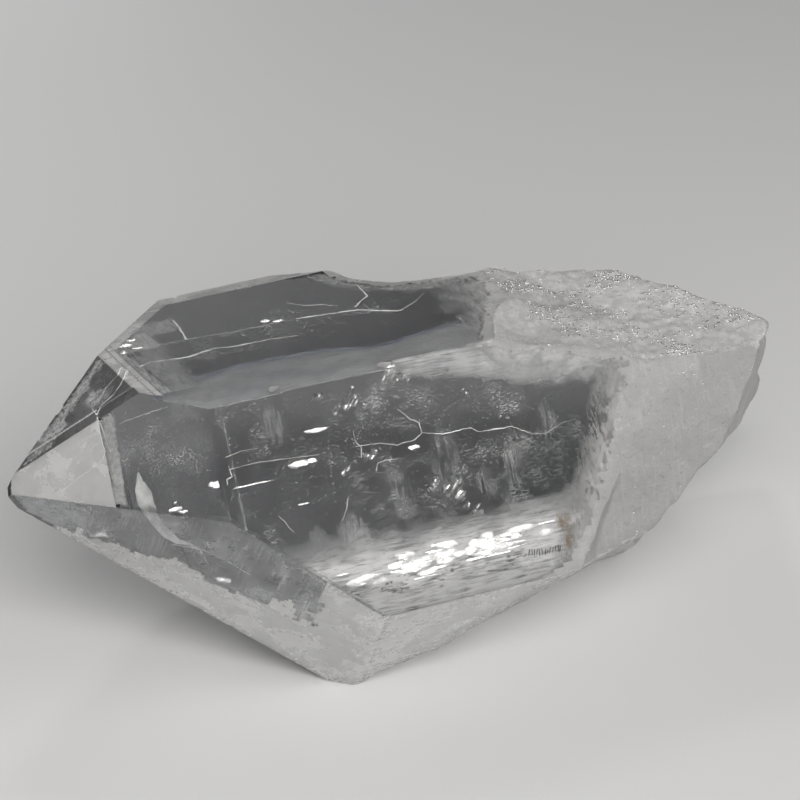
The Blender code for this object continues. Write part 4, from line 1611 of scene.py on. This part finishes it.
kept(mist("back_veil", "m_back_upper", -34.0, 12.0, -24.0, 24.0, 0.4, back_veil, margin=0.4),
     mist_material("back_veil", grey, 1.3, 0.0, 0.8, (0.44, 0.64), stretch=(0.6, 2.0, 2.0)))
kept(mist("back_point_veil", "z_back_upper", -34.0, 4.0, -24.0, 24.0, 0.4, back_point_veil, margin=0.4),
     mist_material("back_point_veil", grey, 1.6, 0.0, 0.9, (0.42, 0.62)))
kept(blade(), sealed_material("leaf_fracture", (0.93, 0.93, 0.925, 1.0), 0.3, 0.8, 1.0, 1.6))
kept(feathers(), sealed_material("feather_fracture", white, 0.22, 0.05, 0.95, 2.4,
                                 metallic=0.8))
kept(blaze(), sealed_material("soft_blaze", (0.85, 0.845, 0.835, 1.0), 0.38, 0.20, 0.95, 1.6,
                              stretch=(0.5, 1.6, 1.6), metallic=1.0))
kept(glints(), sealed_material("bright_fracture", (0.80, 0.80, 0.80, 1.0), 0.22, 0.2, 1.0, 2.0,
                               stretch=(2.8, 0.5, 0.5), edges=(0.36, 0.64), metallic=0.85))
kept(specks(), sealed_material("sealed_flake", white, 0.4, 0.35, 0.9, 1.5, hazed=False))
kept(sparkles(), sealed_material("sugar_facet", (0.98, 0.98, 0.98, 1.0), 0.15, 0.8, 1.0, 2.0,
                                 metallic=0.8, hazed=False))
kept(stain(), sealed_material("rust_film", (0.56, 0.42, 0.29, 1.0), 0.6, 0.0, 0.46, 2.6))
kept(dashes(), sealed_material("dark_dash", (0.07, 0.065, 0.06, 1.0), 0.5, 0.7, 1.0, 3.0))

# ------------------------------------------------------------- floor and light
scene = bpy.context.scene


def floor_mesh():
    bm = bmesh.new()
    bmesh.ops.create_circle(bm, cap_ends=True, segments=96, radius=4.0)
    bmesh.ops.translate(bm, verts=bm.verts[:], vec=(0, 0, -0.00005))
    obj = from_bmesh("floor", bm)
    mat, nt, p = principled("pale_floor")
    c = node(nt, "ShaderNodeTexCoord")
    t = texture(nt, c.outputs["Object"], 3.0, 3.0, 0.5)
    nt.links.new(mix_colour(nt, t, (0.70, 0.70, 0.70, 1.0), (0.74, 0.74, 0.738, 1.0)),
                 p.inputs["Base Color"])
    p.inputs["Roughness"].default_value = 0.6
    obj.data.materials.append(mat)


floor_mesh()


def softbox(name, where, size, power, aim=(0.0, 0.0, 0.02), colour=(1, 1, 1)):
    light = bpy.data.lights.new(name, "AREA")
    light.shape = "RECTANGLE"
    light.size, light.size_y = size
    light.energy = power
    light.color = colour
    obj = bpy.data.objects.new(name, light)
    obj.location = where
    obj.rotation_mode = "QUATERNION"
    obj.rotation_quaternion = (Vector(aim) - Vector(where)).to_track_quat("-Z", "Y")
    scene.collection.objects.link(obj)


softbox("key_front", (-0.18, -0.54, 0.43), (0.52, 0.52), 5.7, colour=(1.0, 0.988, 0.972))
softbox("right", (0.56, -0.35, 0.21), (0.30, 0.30), 1.5)
softbox("above_behind", (0.15, 0.50, 0.60), (0.10, 0.10), 0.40)
softbox("low_behind", (-0.12, 0.78, 0.09), (0.90, 0.10), 3.2)

world = bpy.data.worlds.new("studio")
scene.world = world
world.use_nodes = True
world.node_tree.nodes["Background"].inputs["Color"].default_value = (0.05, 0.05, 0.052, 1.0)
world.node_tree.nodes["Background"].inputs["Strength"].default_value = 1.0

scene.view_settings.view_transform = "Standard"
scene.cycles.use_denoising = True
scene.cycles.max_bounces = 14
scene.cycles.transmission_bounces = 12
scene.cycles.glossy_bounces = 8
scene.cycles.diffuse_bounces = 2
scene.cycles.transparent_max_bounces = 16
scene.cycles.use_light_tree = False
scene.cycles.sample_clamp_indirect = 30.0

# --------------------------------------------------------------------- camera
AZIMUTH, ELEVATION, ROLL = radians(-28.812), radians(26.4), radians(2.761)
EYE = Vector((-142.18, -246.82, 167.15)) * MM
LENS = 117.47
back = Vector((sin(AZIMUTH) * cos(ELEVATION), -cos(AZIMUTH) * cos(ELEVATION), sin(ELEVATION)))
right = Vector((cos(AZIMUTH), sin(AZIMUTH), 0.0))
up = back.cross(right)
right, up = cos(ROLL) * right + sin(ROLL) * up, cos(ROLL) * up - sin(ROLL) * right
camera = bpy.data.objects.new("camera", bpy.data.cameras.new("camera"))
camera.data.lens = LENS
camera.data.sensor_width = 36.0
camera.data.clip_start, camera.data.clip_end = 0.01, 20.0
turn = Matrix((right, up, back)).transposed().to_4x4()
camera.matrix_world = Matrix.Translation(EYE) @ turn
scene.collection.objects.link(camera)
scene.camera = camera

bpy.context.view_layer.update()
